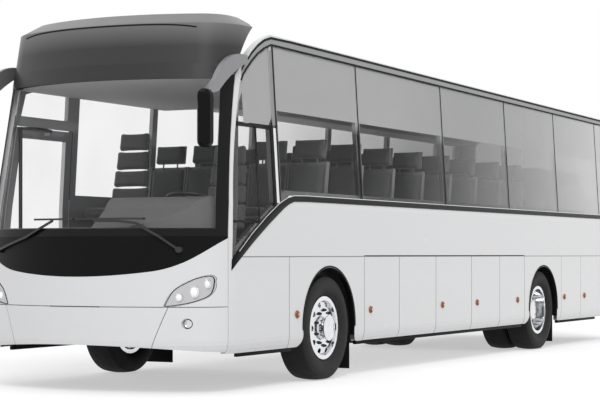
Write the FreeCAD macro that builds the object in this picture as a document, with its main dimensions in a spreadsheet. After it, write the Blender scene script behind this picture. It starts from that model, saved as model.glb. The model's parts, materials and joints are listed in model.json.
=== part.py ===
"""Coach bus: a parametric assembly in millimetres.

Frame: +Z up, -Y is forward, +X is the driver's side.  The origin is on the ground under the
middle of the vehicle.  Places along the body are counted from the front axle, rearwards.
Every driving size is a cell of the sheet "sizes".  An expression such as "body_width/2" is
written with bare cell names, and cell_text() puts the sheet's name before each of them.
"""
import FreeCAD
import Part
import math
import os
import re
import Sketcher
from FreeCAD import Placement, Rotation, Vector

doc = FreeCAD.newDocument("coach_bus")
sheet = doc.addObject("Spreadsheet::Sheet", "sizes")

# name, value (mm, or degrees where the name says so)
SIZES = (
    # overall
    ("body_length", 11800),
    ("body_width", 2550),
    ("front_overhang", 2420),
    ("wheelbase", 6057),
    # heights above the ground
    ("skirt_height", 346),
    ("nose_height", 400),
    ("crease_height", 752),
    ("mask_low_height", 1013),
    ("screen_low_height", 1360),
    ("screen_top_height", 2790),
    ("door_line_height", 1186),
    ("belt_low_height", 1640),
    ("glass_low_height", 1751),
    ("glass_top_front_height", 3108),
    ("glass_top_rear_height", 3010),
    ("rail_top_front_height", 3195),
    ("rail_top_rear_height", 3090),
    ("floor_height", 1200),
    ("driver_floor_height", 1000),
    ("first_step_height", 400),
    ("bay_floor_height", 400),
    ("visor_seam_height", 3226),
    ("visor_top_height", 3330),
    # shell
    ("bow_radius", 2150),
    ("corner_radius", 450),
    ("rear_corner_radius", 260),
    ("rear_bow_radius", 9000),
    ("tumblehome", 110),
    ("screen_lean", 397),
    ("rear_lean", 120),
    ("shell_top_height", 3400),
    ("tuck_height", 460),
    ("tuck_radius", 250),
    ("wall", 50),
    ("glass", 8),
    ("glass_lap", 35),
    ("pane_joint", 24),
    ("panel_gap", 8),
    ("floor_plate", 50),
    ("roof_crown", 90),
    ("roof_plate", 40),
    ("roof_ramp_end", 1200),
    ("header_depth", 90),
    # front end, places ahead of the front axle
    ("split", 1900),
    ("screen_edge_top", 1658),
    ("pillar_width", 52),
    ("screen_rise", 40),
    ("visor_plate", 35),
    ("visor_round", 170),
    ("visor_tip", 1275),
    # wheels and steering
    ("tyre_radius", 500),
    ("tyre_width", 305),
    ("rim_radius", 302),
    ("rim_seat_radius", 286),
    ("rim_width", 229),
    ("front_track", 2200),
    ("rear_outer_track", 2167),
    ("twin_spacing", 345),
    ("kingpin_track", 1960),
    ("kingpin_radius", 20),
    ("kingpin_clearance", 0.5),
    ("arch_radius", 546),
    ("rear_arch_radius", 519),
    ("arch_flare", 110),
    ("liner_inner_x", 560),
    ("hand_hole_radius", 28),
    ("hand_hole_circle", 232),
    ("hub_radius", 108),
    # frame
    ("rail_width", 80),
    ("rail_depth", 180),
    ("rail_spread", 760),
    ("rail_low_height", 620),
    # luggage doors
    ("bay_margin", 226),
    ("rear_bay_margin", 177),
    ("bay_door_thickness", 30),
    ("hinge_bead_radius", 9),
    ("hinge_rod_radius", 4),
    ("hinge_clearance", 0.5),
    ("marker_radius", 34),
    ("marker_height", 650),
    ("marker_proud", 25),
    # entry door, places ahead of the front axle
    ("entry_front", 1790),
    ("entry_rear", 760),
    ("entry_top_height", 2400),
    ("entry_sill_height", 380),
    ("entry_lean", 130),
    ("door_gap", 10),
    ("post_inset", 130),
    ("post_place", 1640),
    ("post_radius", 18),
    ("door_pin_inset", 135),
    ("door_pin_place", 1190),
    ("door_pin_radius", 14),
    # cabin
    ("seat_pitch", 780),
    ("first_row", 150),
    ("first_right_row", 420),
    ("seat_width", 430),
    ("aisle_half", 230),
    ("seat_back_height", 1190),
    ("rack_low_height", 2780),
    ("rack_reach", 400),
    # tow socket behind the bumper
    ("tow_x", 1000),
    ("tow_height", 610),
    ("tow_bore_radius", 21),
    ("tow_bore_depth", 100),
    # rear end
    ("lid_half", 900),
    ("lid_low_height", 760),
    ("lid_top_height", 1760),
    ("louvre_pitch", 62),
    ("rear_window_half", 950),
    ("rear_window_low", 1950),
    ("rear_window_top", 2900),
    ("engine_width", 660),
    ("engine_length", 1350),
    ("engine_low_height", 460),
    ("engine_top_height", 1110),
    # roof
    ("air_unit_half", 560),
    ("air_unit_rise", 60),
    ("air_unit_length", 2400),
    # mirrors
    ("mirror_width", 130),
    ("mirror_low_height", 2105),
    ("mirror_top_height", 2600),
)
for row, (alias, value) in enumerate(SIZES, start=1):
    sheet.set("A%d" % row, alias)
    sheet.set("B%d" % row, str(value))
    sheet.setAlias("B%d" % row, alias)
doc.recompute()

NAMES = {alias for alias, value in SIZES}
FRONT_AXLE = "(front_overhang - body_length/2)"
REAR_AXLE = "(front_overhang + wheelbase - body_length/2)"
NOSE = "(-body_length/2)"
TAIL = "(body_length/2)"
HALF = "(body_width/2)"
FAR = 4000


def cell_text(text):
    """Put the sheet's name before every bare cell name."""
    return re.sub(r"[a-z_][a-z_0-9]*", lambda m: "sizes." + m[0] if m[0] in NAMES else m[0], str(text))


def value_of(text):
    """The number that an expression gives now."""
    return float(sheet.evalExpression(cell_text(text)))


def bind(obj, prop, text):
    obj.setExpression(prop, cell_text(text))


def new(kind, label):
    obj = doc.addObject(kind, label)
    obj.Label = label
    return obj


def box(label, x, y, z):
    """A block between two expressions along each axis."""
    block = new("Part::Box", label)
    for prop, place, (low, high) in (("Length", "x", x), ("Width", "y", y), ("Height", "z", z)):
        bind(block, prop, "(%s) - (%s)" % (high, low))
        bind(block, "Placement.Base." + place, low)
    return block


def cylinder(label, radius, length, x, y, z, axis=(1, 0, 0)):
    """A cylinder whose near end is centred on x, y, z and whose length runs along axis."""
    rod = new("Part::Cylinder", label)
    rod.Placement = Placement(Vector(), Rotation(Vector(0, 0, 1), Vector(*axis)))
    bind(rod, "Radius", radius)
    bind(rod, "Height", length)
    for place, text in (("x", x), ("y", y), ("z", z)):
        bind(rod, "Placement.Base." + place, text)
    return rod


PLANES = {
    "XY": Rotation(),
    "XZ": Rotation(Vector(1, 0, 0), 90),
    "YZ": Rotation(Vector(1, 1, 1), 120),
}
NORMALS = {"XY": ("z", (0, 0, 1)), "XZ": ("y", (0, 1, 0)), "YZ": ("x", (1, 0, 0))}


def draw(sketch, loops):
    """Closed loops of lines and arcs in a sketch, each point bound to two expressions.

    A loop is a list of (across, up) points.  A point with a third item, "via", is the middle
    of an arc between the points before and after it.
    """
    joins = []
    pins = []

    def pin(line, end, point, spot):
        """Hold a sketch point at two expressions."""
        for kind, text, value in (("DistanceX", point[0], spot.x), ("DistanceY", point[1], spot.y)):
            hold = Sketcher.Constraint(kind, -1, 1, line, end, value)
            hold.Name = "%s_%d" % (kind, len(pins))
            pins.append((hold, str(text)))

    for loop in loops:
        corners = [point for point in loop if len(point) == 2]
        count = len(corners)
        place = -1
        middles = {}
        for point in loop:
            if len(point) == 2:
                place += 1
            else:
                middles[place] = point
        spots = [Vector(value_of(u), value_of(v), 0) for u, v in corners]
        lines = []
        ends = []
        for i in range(count):
            start, end = spots[i], spots[(i + 1) % count]
            order = (1, 2)
            if i in middles:
                middle = Vector(value_of(middles[i][0]), value_of(middles[i][1]), 0)
                if (middle - start).cross(end - middle).z < 0:
                    # a sketch keeps every arc anticlockwise
                    start, end = end, start
                    order = (2, 1)
                edge = Part.Arc(start, middle, end)
            else:
                edge = Part.LineSegment(start, end)
            lines.append(sketch.addGeometry(edge, False))
            ends.append(order)
        for i in range(count):
            after = (i + 1) % count
            joins.append(Sketcher.Constraint("Coincident", lines[i], ends[i][1], lines[after], ends[after][0]))
            pin(lines[i], ends[i][0], corners[i], spots[i])
        for i, (u, v, word) in middles.items():
            middle = Vector(value_of(u), value_of(v), 0)
            mark = sketch.addGeometry(Part.Point(middle), True)
            pin(mark, 1, (u, v), middle)
            joins.append(Sketcher.Constraint("PointOnObject", mark, 1, lines[i]))
    sketch.addConstraint(joins + [hold for hold, text in pins])
    for hold, text in pins:
        if re.search("[a-z]", text):
            sketch.setExpression("Constraints." + hold.Name, cell_text(text))


def outline(label, plane, place, loops):
    """A sketch of closed loops on a plane moved along its normal to place."""
    sketch = new("Sketcher::SketchObject", label)
    sketch.Placement = Placement(Vector(), PLANES[plane])
    bind(sketch, "Placement.Base." + NORMALS[plane][0], place)
    draw(sketch, loops)
    return sketch


def extrude(label, plane, low, high, loops):
    """Loops drawn on a plane and pushed from low to high along its normal."""
    solid = new("Part::Extrusion", label)
    solid.Base = outline(label + "_outline", plane, low, loops)
    solid.DirMode = "Custom"
    solid.Dir = Vector(*NORMALS[plane][1])
    solid.Solid = True
    solid.FaceMakerClass = "Part::FaceMakerBullseye"
    bind(solid, "LengthFwd", "(%s) - (%s)" % (high, low))
    return solid


def loft(label, sections, ruled=True):
    solid = new("Part::Loft", label)
    solid.Sections = sections
    solid.Solid = True
    solid.Ruled = ruled
    return solid


def cut(label, base, *tools):
    result = new("Part::Cut", label)
    result.Base = base
    result.Tool = tools[0] if len(tools) == 1 else fuse(label + "_tools", *tools)
    return result


def fuse(label, *parts):
    result = new("Part::MultiFuse", label)
    result.Shapes = list(parts)
    return result


def common(label, *parts):
    result = new("Part::MultiCommon", label)
    result.Shapes = list(parts)
    return result


def group(label, *parts):
    """Solids of one node that don't touch."""
    result = new("Part::Compound", label)
    result.Links = list(parts)
    return result


def rectangle(u0, v0, u1, v1):
    return [(u0, v0), (u1, v0), (u1, v1), (u0, v1)]


def rounded(u0, v0, u1, v1, radius):
    """A rectangle with round corners."""
    inset = "(%s)" % radius
    nick = "(%s)*%.6f" % (radius, 1 - math.sqrt(0.5))
    points = []
    for (u, su), (v, sv), swap in (((u0, 1), (v0, 1), True), ((u1, -1), (v0, 1), False),
                                   ((u1, -1), (v1, -1), True), ((u0, 1), (v1, -1), False)):
        along_v = ("(%s)" % u, "(%s) + %d*%s" % (v, sv, inset))
        along_u = ("(%s) + %d*%s" % (u, su, inset), "(%s)" % v)
        first, last = (along_v, along_u) if swap else (along_u, along_v)
        points += [first, ("(%s) + %d*%s" % (u, su, nick), "(%s) + %d*%s" % (v, sv, nick), "via"), last]
    return points


def at_front_axle(distance):
    return "(%s + (%s))" % (FRONT_AXLE, distance)


def at_rear_axle(distance):
    return "(%s + (%s))" % (REAR_AXLE, distance)


def sided(side, low, high):
    """A span across the vehicle, mirrored for the right side."""
    return (low, high) if side > 0 else ("-(%s)" % high, "-(%s)" % low)


# ---------------------------------------------------------------- outer shell

# level (mm), parts of the tumblehome, of the screen's lean and of the rear's lean reached there
LEVELS = (
    ("tuck_height", 0, 0, 0),
    ("screen_low_height", 0, 0, 0.2),
    ("belt_low_height", 0.02, 0.28 / 2.04, 0.35),
    ("shell_top_height", 1, 1, 1),
)
TUCK_STEPS = 4


def plan_wire(inset, half, nose, tail, height):
    """One level of the body in plan: bowed nose, round corners, flat sides, bowed tail."""
    half -= inset
    nose += inset
    tail -= inset
    bow = value_of("bow_radius") - inset
    corner = value_of("corner_radius") - inset
    rear_bow = value_of("rear_bow_radius") - inset
    rear_corner = value_of("rear_corner_radius") - inset

    def end(tip, bow, corner, way):
        """Centre of the corner arc and the point where it meets the bow."""
        rise = math.sqrt((bow - corner) ** 2 - (half - corner) ** 2)
        centre = tip + way * (bow - rise)
        share = bow / (bow - corner)
        join = Vector((half - corner) * share, tip + way * (bow - rise * share), height)
        middle_way = Vector(join.x - (half - corner) + corner, join.y - centre, 0).normalize()
        middle = Vector(half - corner, centre, height) + middle_way * corner
        return centre, join, middle

    def flip(point):
        return Vector(-point.x, point.y, point.z)

    front, front_join, front_middle = end(nose, bow, corner, 1)
    rear, rear_join, rear_middle = end(tail, rear_bow, rear_corner, -1)
    side_front = Vector(half, front, height)
    side_rear = Vector(half, rear, height)
    edges = (
        Part.Arc(flip(front_join), Vector(0, nose, height), front_join),
        Part.Arc(front_join, front_middle, side_front),
        Part.LineSegment(side_front, side_rear),
        Part.Arc(side_rear, rear_middle, rear_join),
        Part.Arc(rear_join, Vector(0, tail, height), flip(rear_join)),
        Part.Arc(flip(rear_join), flip(rear_middle), flip(side_rear)),
        Part.LineSegment(flip(side_rear), flip(side_front)),
        Part.Arc(flip(side_front), flip(front_middle), flip(front_join)),
    )
    return Part.Wire([edge.toShape() for edge in edges])


def shell_wire(inset, height, narrow, lean, rear_lean):
    return plan_wire(
        inset,
        value_of(HALF) - narrow * value_of("tumblehome"),
        value_of(NOSE) + lean * value_of("screen_lean"),
        value_of(TAIL) - rear_lean * value_of("rear_lean"),
        height)


def level_wire(height, inset):
    """The outer shell's plan at any height above the belt, moved in by inset."""
    low, high = LEVELS[2], LEVELS[3]
    share = (height - value_of(low[0])) / (value_of(high[0]) - value_of(low[0]))
    narrow, lean, rear_lean = (low[i] + share * (high[i] - low[i]) for i in (1, 2, 3))
    return shell_wire(inset, height, narrow, lean, rear_lean)


def wire_loft(label, wires):
    solid = new("Part::Feature", label)
    solid.Shape = Part.makeLoft(wires, True, True)
    return solid


def envelope(label, inset):
    """The space inside the body's outer face moved in by inset, open above the roof.

    Below tuck_height the face rolls under along a round of tuck_radius.
    """
    inset = value_of(inset)
    drop = value_of("tuck_height - skirt_height + panel_gap*5")
    radius = value_of("tuck_radius")
    wires = []
    for step in range(TUCK_STEPS, 0, -1):
        fall = drop * step / TUCK_STEPS
        tuck = radius - math.sqrt(radius ** 2 - fall ** 2)
        wires.append(shell_wire(inset + tuck, value_of("tuck_height") - fall, 0, 0, 0))
    for height, narrow, lean, rear_lean in LEVELS:
        wires.append(shell_wire(inset, value_of(height), narrow, lean, rear_lean))
    return wire_loft(label, wires)


outside = envelope("outside", "0")
glass_seat = envelope("glass_seat", "glass")
inside = envelope("inside", "wall")
shell = cut("shell", outside, inside)
glass_shell = cut("glass_shell", outside, glass_seat)

# ---------------------------------------------------------------- side walls

RUN = "(body_length - 1500)"


def glass_top(distance):
    """Height of the side glass's top edge at a distance behind the front axle."""
    return ("(glass_top_front_height + (glass_top_rear_height - glass_top_front_height)"
            "*((%s) + 1000)/%s)" % (distance, RUN))


def rail_top(distance):
    return ("(rail_top_front_height + (rail_top_rear_height - rail_top_front_height)"
            "*((%s) + 1000)/%s)" % (distance, RUN))


SIDE_END = "(body_length - front_overhang - rear_corner_radius)"

# lines between the low side panels, as shares of the space between the wheel arches
BAY_SHARES = (0, 0.184, 0.3955, 0.621, 0.8155, 1)
BAY_START = "(arch_radius + bay_margin)"
BAY_END = "(wheelbase - rear_arch_radius - rear_bay_margin)"
BAY_LINES = ["(%s + %s*(%s - %s))" % (BAY_START, share, BAY_END, BAY_START) for share in BAY_SHARES]

# upright joints between the side panes, as shares of the glazed length
PANE_START = "(-985)"
PANE_END = "(%s - 70)" % SIDE_END
PANE_SHARES = (0.1721, 0.3868, 0.5825, 0.7598, 0.9302)
PANE_LINES = ["(%s + %s*(%s - %s))" % (PANE_START, share, PANE_END, PANE_START) for share in PANE_SHARES]
FIRST_PANES = {1: PANE_START, -1: "(70 - entry_rear)"}


def arch(axle, radius):
    """One wheel opening from front to rear, its low corners flared into the skirt."""
    def at(way, out, up):
        return ("%s + %d*(%s + (%s))" % (axle, way, radius, out), up)
    nick = "arch_flare*%.6f" % (1 - math.sqrt(0.5))
    return [at(-1, "arch_flare", "skirt_height"),
            at(-1, nick, "skirt_height + " + nick) + ("via",),
            at(-1, "0", "skirt_height + arch_flare"),
            at(-1, "0", "tyre_radius"),
            (axle, "tyre_radius + " + radius + " + 30", "via"),
            at(1, "0", "tyre_radius"),
            at(1, "0", "skirt_height + arch_flare"),
            at(1, nick, "skirt_height + " + nick) + ("via",),
            at(1, "arch_flare", "skirt_height")]


def screen_edge(shift):
    """The windscreen's bowed rear edge from its foot to its top, moved rearwards by shift."""
    return [(at_front_axle("-split + %s" % shift), "screen_low_height"),
            (at_front_axle("-split + 89 + %s" % shift), "screen_low_height + 660", "via"),
            (at_front_axle("-screen_edge_top + %s" % shift), "screen_top_height - 20")]


def wall_outline():
    """Side elevation of one wall: skirts, wheel arches, waist and cant rail."""
    front = at_front_axle("-split")
    rear = at_front_axle(SIDE_END)
    points = [(front, "skirt_height")]
    points += arch(FRONT_AXLE, "arch_radius")
    points += arch(REAR_AXLE, "rear_arch_radius")
    points += [(rear, "skirt_height"),
               (rear, rail_top(SIDE_END)),
               (at_front_axle(-1020), rail_top("-1020")),
               (at_front_axle("-screen_edge_top + 258"), "screen_top_height + 224", "via")]
    return points + screen_edge("0")[::-1]


def pane_outlines(side, lap):
    """The side panes behind the driver, one rectangle each, drawn in by lap."""
    starts = [FIRST_PANES[side]] + ["(%s + pane_joint/2)" % line for line in PANE_LINES]
    ends = ["(%s - pane_joint/2)" % line for line in PANE_LINES] + [PANE_END]
    panes = []
    for i, (start, end) in enumerate(zip(starts, ends)):
        # the front daylight opening stays under the roof's slope
        drop = 170 if i == 0 and lap != "0" else 0
        panes.append([(at_front_axle("%s + %s" % (start, lap)), "glass_low_height + " + lap),
                      (at_front_axle("%s - %s" % (end, lap)), "glass_low_height + " + lap),
                      (at_front_axle("%s - %s" % (end, lap)), "%s - %s" % (glass_top(end), lap)),
                      (at_front_axle("%s + %s" % (start, lap)), "%s - %s - %d" % (glass_top(start), lap, drop))])
    return panes


def glass_corner():
    """The round top front corner of the glass, from the rear."""
    return [(at_front_axle(-1070), "glass_top_front_height - 22"),
            (at_front_axle(-1400), "glass_top_front_height - 189", "via"),
            (at_front_axle("-screen_edge_top + pillar_width + 12"), "screen_top_height - 60")]


def driver_glass():
    """Pane from the screen pillar to the belt's slope."""
    return [(at_front_axle("-split + pillar_width"), "mask_low_height + 152"),
            (at_front_axle(-1070), "glass_low_height - 102")] + glass_corner() + [
            (at_front_axle("-split + pillar_width + 58"), "(screen_low_height + screen_top_height)/2 - 185", "via")]


def driver_daylight():
    return [(at_front_axle(-1800), "mask_low_height + 267"),
            (at_front_axle(-1110), "glass_low_height - 82"),
            (at_front_axle(-1110), "screen_top_height + 90"),
            (at_front_axle(-1540), "screen_top_height - 80"),
            (at_front_axle(-1640), "screen_top_height - 260")]


def entry_outline(gap):
    """The entry door's outline grown outwards by gap; its front edge leans with the screen."""
    return [(at_front_axle("-entry_front - %s" % gap), "entry_sill_height - %s" % gap),
            (at_front_axle("-entry_rear + %s" % gap), "entry_sill_height - %s" % gap),
            (at_front_axle("-entry_rear + %s" % gap), "entry_top_height + %s" % gap),
            (at_front_axle("-entry_front + entry_lean - %s" % gap), "entry_top_height + %s" % gap),
            (at_front_axle("-entry_front - %s" % gap), "screen_low_height + 100")]


def transom_glass():
    """The fixed glass above the entry door."""
    return [(at_front_axle(-1640), "entry_top_height + 70"),
            (at_front_axle("-entry_rear - 50"), "entry_top_height + 70"),
            (at_front_axle("-entry_rear - 50"), glass_top("-entry_rear - 50"))] + glass_corner()


def transom_daylight():
    return [(at_front_axle(-1600), "entry_top_height + 105"),
            (at_front_axle("-entry_rear - 85"), "entry_top_height + 105"),
            (at_front_axle("-entry_rear - 85"), "screen_top_height + 110"),
            (at_front_axle(-1540), "screen_top_height - 80")]


MARKERS_ON_WALL = ("(-arch_radius - 129)", "(wheelbase + 799)", "(wheelbase + 1624)")


def marker_lamp(label, side, distance):
    """A round side lamp: a ball cap that stands proud of the wall."""
    ball = new("Part::Sphere", label)
    bind(ball, "Radius", "marker_radius")
    bind(ball, "Placement.Base.x", "%d*(%s - marker_radius + marker_proud)" % (side, HALF))
    bind(ball, "Placement.Base.y", at_front_axle(distance))
    bind(ball, "Placement.Base.z", "marker_height")
    return common(label + "_cap", ball, box(
        label + "_side", sided(side, HALF + " - wall/2", HALF + " + wall"),
        (at_front_axle(distance) + " - wall", at_front_axle(distance) + " + wall"),
        ("marker_height - wall", "marker_height + wall")))


def hinge_line(side):
    """Centre of the luggage doors' hinge: across and up."""
    return ("%d*(%s - hinge_bead_radius)" % (side, HALF), "door_line_height - hinge_bead_radius")


def side_wall(word, side, glass, daylight, hole):
    """One wall: the shell in side elevation, less its glass, daylight and door openings."""
    label = word + "_side_wall"
    low, high = sided(side, "0", str(FAR))
    blank = common(label + "_blank", shell, extrude(label + "_elevation", "YZ", low, high, [wall_outline()]))
    # the inner layer carries the screen's edge on a flange
    flange = common(label + "_flange", cut(label + "_flange_layer", glass_seat, inside), extrude(
        label + "_flange_zone", "YZ", low, high, [screen_edge("10") + screen_edge("(-glass_lap)")[::-1]]))
    rebate = cut(label + "_rebate", extrude(label + "_glass_zone", "YZ", low, high,
                                            pane_outlines(side, "0") + [glass]), glass_seat)
    openings = extrude(label + "_daylight", "YZ", low, high, pane_outlines(side, "glass_lap") + [daylight])
    bays = extrude(label + "_bays", "YZ", low, high, [
        rectangle(at_front_axle(BAY_LINES[0]), "skirt_height - wall*3",
                  at_front_axle(BAY_LINES[-1]), "door_line_height + panel_gap")])
    tools = [rebate, openings, bays]
    if hole:
        tools.append(extrude(label + "_entry", "YZ", low, high, [hole]))
    x, z = hinge_line(side)
    rod = cylinder(word + "_hinge_rod", "hinge_rod_radius", "%s - %s + 24" % (BAY_LINES[-1], BAY_LINES[0]),
                   x, at_front_axle(BAY_LINES[0]) + " - 12", z, (0, 1, 0))
    markers = [marker_lamp("%s_wall_marker_%d" % (word, i), side, distance)
               for i, distance in enumerate(MARKERS_ON_WALL)]
    return fuse(label, cut(label + "_open", fuse(label + "_layers", blank, flange), *tools), rod, *markers)


left_wall = side_wall("left", 1, driver_glass(), driver_daylight(), None)
right_wall = side_wall("right", -1, transom_glass(), transom_daylight(), entry_outline("door_gap"))

side_windows = common("side_windows", glass_shell, fuse(
    "side_glass_zones",
    extrude("left_glass_zones", "YZ", "0", FAR, pane_outlines(1, "0") + [driver_glass()]),
    extrude("right_glass_zones", "YZ", -FAR, "0", pane_outlines(-1, "0") + [transom_glass()])))

# ---------------------------------------------------------------- luggage doors

door_layer = cut("door_layer", outside, envelope("door_back", "bay_door_thickness"))
# place of the marker lamp on each luggage door, from its front edge, or None
MARKERS_ON_DOORS = (142, None, 179, 169, 602)


def luggage_door(side, number):
    """A flap that fills one side bay, its top edge rolled into a bead round the hinge rod."""
    word = "left" if side > 0 else "right"
    label = "%s_luggage_door_%d" % (word, number)
    first, last = at_front_axle(BAY_LINES[number - 1]), at_front_axle(BAY_LINES[number])
    span = (first + " + panel_gap/2", last + " - panel_gap/2")
    x, z = hinge_line(side)
    panel = common(label + "_panel", door_layer, box(
        label + "_zone", sided(side, "0", str(FAR)), span, ("skirt_height + 2", z)))
    length = "%s - %s - panel_gap" % (last, first)
    bead = cylinder(label + "_bead", "hinge_bead_radius", length, x, span[0], z, (0, 1, 0))
    bore = cylinder(label + "_bore", "hinge_rod_radius + hinge_clearance", length, x, span[0], z, (0, 1, 0))
    parts = [panel, bead]
    marker = MARKERS_ON_DOORS[number - 1]
    if marker:
        parts.append(marker_lamp(label + "_marker", side, "%s + %d" % (BAY_LINES[number - 1], marker)))
    return cut(label, fuse(label + "_blank", *parts), bore)


luggage_doors = [luggage_door(side, number) for side in (1, -1) for number in range(1, len(BAY_LINES))]

# ---------------------------------------------------------------- front end

FRONT = (NOSE + " - 500", FRONT_AXLE)
REAR = (at_front_axle(SIDE_END) + " - 200", TAIL + " + 500")
WIDE = "(%s + 60)" % HALF


def flip(loop):
    """A loop mirrored to the right side."""
    return [("-(%s)" % point[0],) + point[1:] for point in loop]


front_zone = extrude("front_zone", "YZ", -FAR, FAR, [
    [(FRONT[0], "skirt_height"), (at_front_axle("-split - 6"), "skirt_height")] + screen_edge("(-6)")
    + [(at_front_axle("-screen_edge_top - 6"), "screen_top_height + 150"), (FRONT[0], "screen_top_height + 150")]])
front_shell = common("front_shell", shell, front_zone)


def smile(drop):
    """The curved upper edge of the white mask, from right to left, lowered by drop."""
    def at(inset, height, *word):
        return ("%s - %d" % (HALF, inset), "%s - %d" % (height, drop)) + word
    left = [at(575, "mask_low_height + 45"), at(215, "mask_low_height + 172", "via"), at(18, "screen_low_height - 6")]
    return flip(left[::-1]) + [("0", "mask_low_height - %d" % drop, "via")] + left


wiper_panel = common("wiper_panel", front_shell, extrude("wiper_panel_zone", "XZ", *FRONT, loops=[
    smile(0) + [(HALF + " - 13", "screen_low_height"), ("-(%s) + 13" % HALF, "screen_low_height")]]))
mask_zone = extrude("mask_zone", "XZ", *FRONT, loops=[
    [("-" + WIDE, "crease_height + 3"), ("-" + WIDE, "screen_low_height - 10")] + smile(4)
    + [(WIDE, "screen_low_height - 10"), (WIDE, "crease_height + 3")]])

# teardrop lamp: corners and arc middles about its own centre
LAMP = ((-202, -137), (-130, -2, "via"), (-20, 76), (50, 111, "via"), (120, 133), (162, 128, "via"), (172, 80),
        (150, -28, "via"), (75, -81), (-35, -115, "via"), (-170, -137))
LAMP_X = HALF + " - 255"
LAMP_Z = "crease_height + 138"
# lamp units behind the lens: place about the same centre and radius
LAMP_UNITS = ((-82, -54, 34), (31, -8, 49), (122, 60, 38))


def lamp_loops(scale):
    left = [("%s + %.1f" % (LAMP_X, scale * point[0]), "%s + %.1f" % (LAMP_Z, scale * point[1])) + point[2:]
            for point in LAMP]
    return [left, flip(left)]


lamp_holes = extrude("lamp_holes", "XZ", *FRONT, loops=lamp_loops(1.02))
lamp_zone = extrude("lamp_zone", "XZ", *FRONT, loops=lamp_loops(1))
lamp_back = envelope("lamp_back", "wall - glass")
lamp_bowls = fuse("lamp_bowls", *[
    cylinder("lamp_bowl_%d_%d" % (side + 1, i), radius, 1500, "%d*(%s + %d)" % (side, LAMP_X, x), NOSE,
             "%s + %d" % (LAMP_Z, z), (0, 1, 0))
    for side in (1, -1) for i, (x, z, radius) in enumerate(LAMP_UNITS)])
headlamps = fuse(
    "headlamps", common("lamp_lenses", glass_shell, lamp_zone),
    common("lamp_units", cut("lamp_layer", glass_seat, lamp_back), lamp_bowls, lamp_zone),
    common("lamp_plates", cut("lamp_back_layer", lamp_back, inside), lamp_zone))
front_mask = cut("front_mask", common("front_mask_blank", front_shell, mask_zone), lamp_holes)

bumper_middle = [("-712", "nose_height"), ("0", "nose_height + 20", "via"), ("712", "nose_height"),
                 ("778", "(nose_height + crease_height)/2", "via"), ("850", "crease_height - 3"),
                 ("-850", "crease_height - 3"), ("-778", "(nose_height + crease_height)/2", "via")]
bumper_side = [("720", "nose_height"), (WIDE, "skirt_height + 10"), (WIDE, "crease_height - 3"),
               ("858", "crease_height - 3"), ("786", "(nose_height + crease_height)/2", "via")]
bumper_zone = extrude("bumper_zone", "XZ", *FRONT, loops=[bumper_middle, bumper_side, flip(bumper_side)])
tow_hole = cylinder("tow_hole", "tow_bore_radius + 24", 800, "tow_x", NOSE, "tow_height", (0, 1, 0))
front_bumper = cut("front_bumper", common("front_bumper_blank", front_shell, bumper_zone), lamp_holes, tow_hole)


windscreen = common("windscreen", glass_shell, front_zone, extrude("screen_band", "XZ", *FRONT, loops=[[
    ("-" + WIDE, "screen_low_height"), (WIDE, "screen_low_height"), (WIDE, "screen_top_height - 22"),
    ("0", "screen_top_height - 22 + screen_rise", "via"), ("-" + WIDE, "screen_top_height - 22")]]))

# ---------------------------------------------------------------- visor and roof

SEAM = value_of("visor_seam_height")
TOP = value_of("visor_top_height")
FOOT = value_of("screen_top_height") - 100
ROUND = value_of("visor_round")
SKIN = value_of("visor_plate")
crown = wire_loft("crown", [level_wire(FOOT, 0), level_wire(SEAM, 0), level_wire(TOP, ROUND)])
crown_hollow = wire_loft("crown_hollow", [level_wire(FOOT - 1, SKIN), level_wire(SEAM - SKIN / 2, SKIN),
                                          level_wire(TOP - SKIN, ROUND + SKIN / 2)])
visor_side = extrude("visor_side", "YZ", -FAR, FAR, [[
    (FRONT[0], "screen_top_height - 40"), (at_front_axle(-1676), "screen_top_height - 40"),
    (at_front_axle(-1625), "screen_top_height + 70"), (at_front_axle(-1545), "screen_top_height + 220", "via"),
    (at_front_axle("-visor_tip"), "visor_seam_height + 42"),
    (at_front_axle("-visor_tip - 30"), "visor_top_height - 12", "via"),
    (at_front_axle("-visor_tip - 115"), "visor_top_height + 15"), (FRONT[0], "visor_top_height + 15")]])
visor_front = extrude("visor_front", "XZ", *FRONT, loops=[[
    ("-" + WIDE, "screen_top_height - 14"), ("0", "screen_top_height - 14 + screen_rise", "via"),
    (WIDE, "screen_top_height - 14"), (WIDE, "visor_top_height + 50"), ("-" + WIDE, "visor_top_height + 50")]])
front_visor = common("front_visor", cut("visor_skin", crown, crown_hollow), visor_side, visor_front)

ROOF_HALF = "(%s - tumblehome*0.91)" % HALF
RAMP = "roof_ramp_end"
REACH = "(body_length - front_overhang + 50)"


def arch_over(half, height):
    """An arch from right to left whose middle is roof_crown above its ends."""
    return [("-(%s)" % half, height), ("0", "%s + roof_crown" % height, "via"), (half, height)]


def roof_loft(label, stations, section):
    """A ruled loft through cross sections at places along the body, each with its edge height."""
    return loft(label, [outline("%s_section_%d" % (label, i), "XZ", at_front_axle(place), [section(edge)])
                        for i, (place, edge) in enumerate(stations)])


def main_section(edge):
    inner = arch_over(ROOF_HALF + " - wall", edge)[::-1]
    inner[1] = ("0", "%s + roof_crown - roof_plate" % edge, "via")
    return arch_over(ROOF_HALF, edge) + inner


def ramp_section(edge):
    return arch_over(HALF, edge) + arch_over(HALF, "%s - roof_plate" % edge)[::-1]


def under_section(edge):
    roof = arch_over(ROOF_HALF + " - wall", edge)
    roof[1] = ("0", "%s + roof_crown - roof_plate" % edge, "via")
    return roof + [(FAR, edge), (FAR, "0"), (-FAR, "0"), (-FAR, edge)]


MAIN_ROOF = ((RAMP, rail_top(RAMP)), (REACH, rail_top(REACH)))
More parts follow.
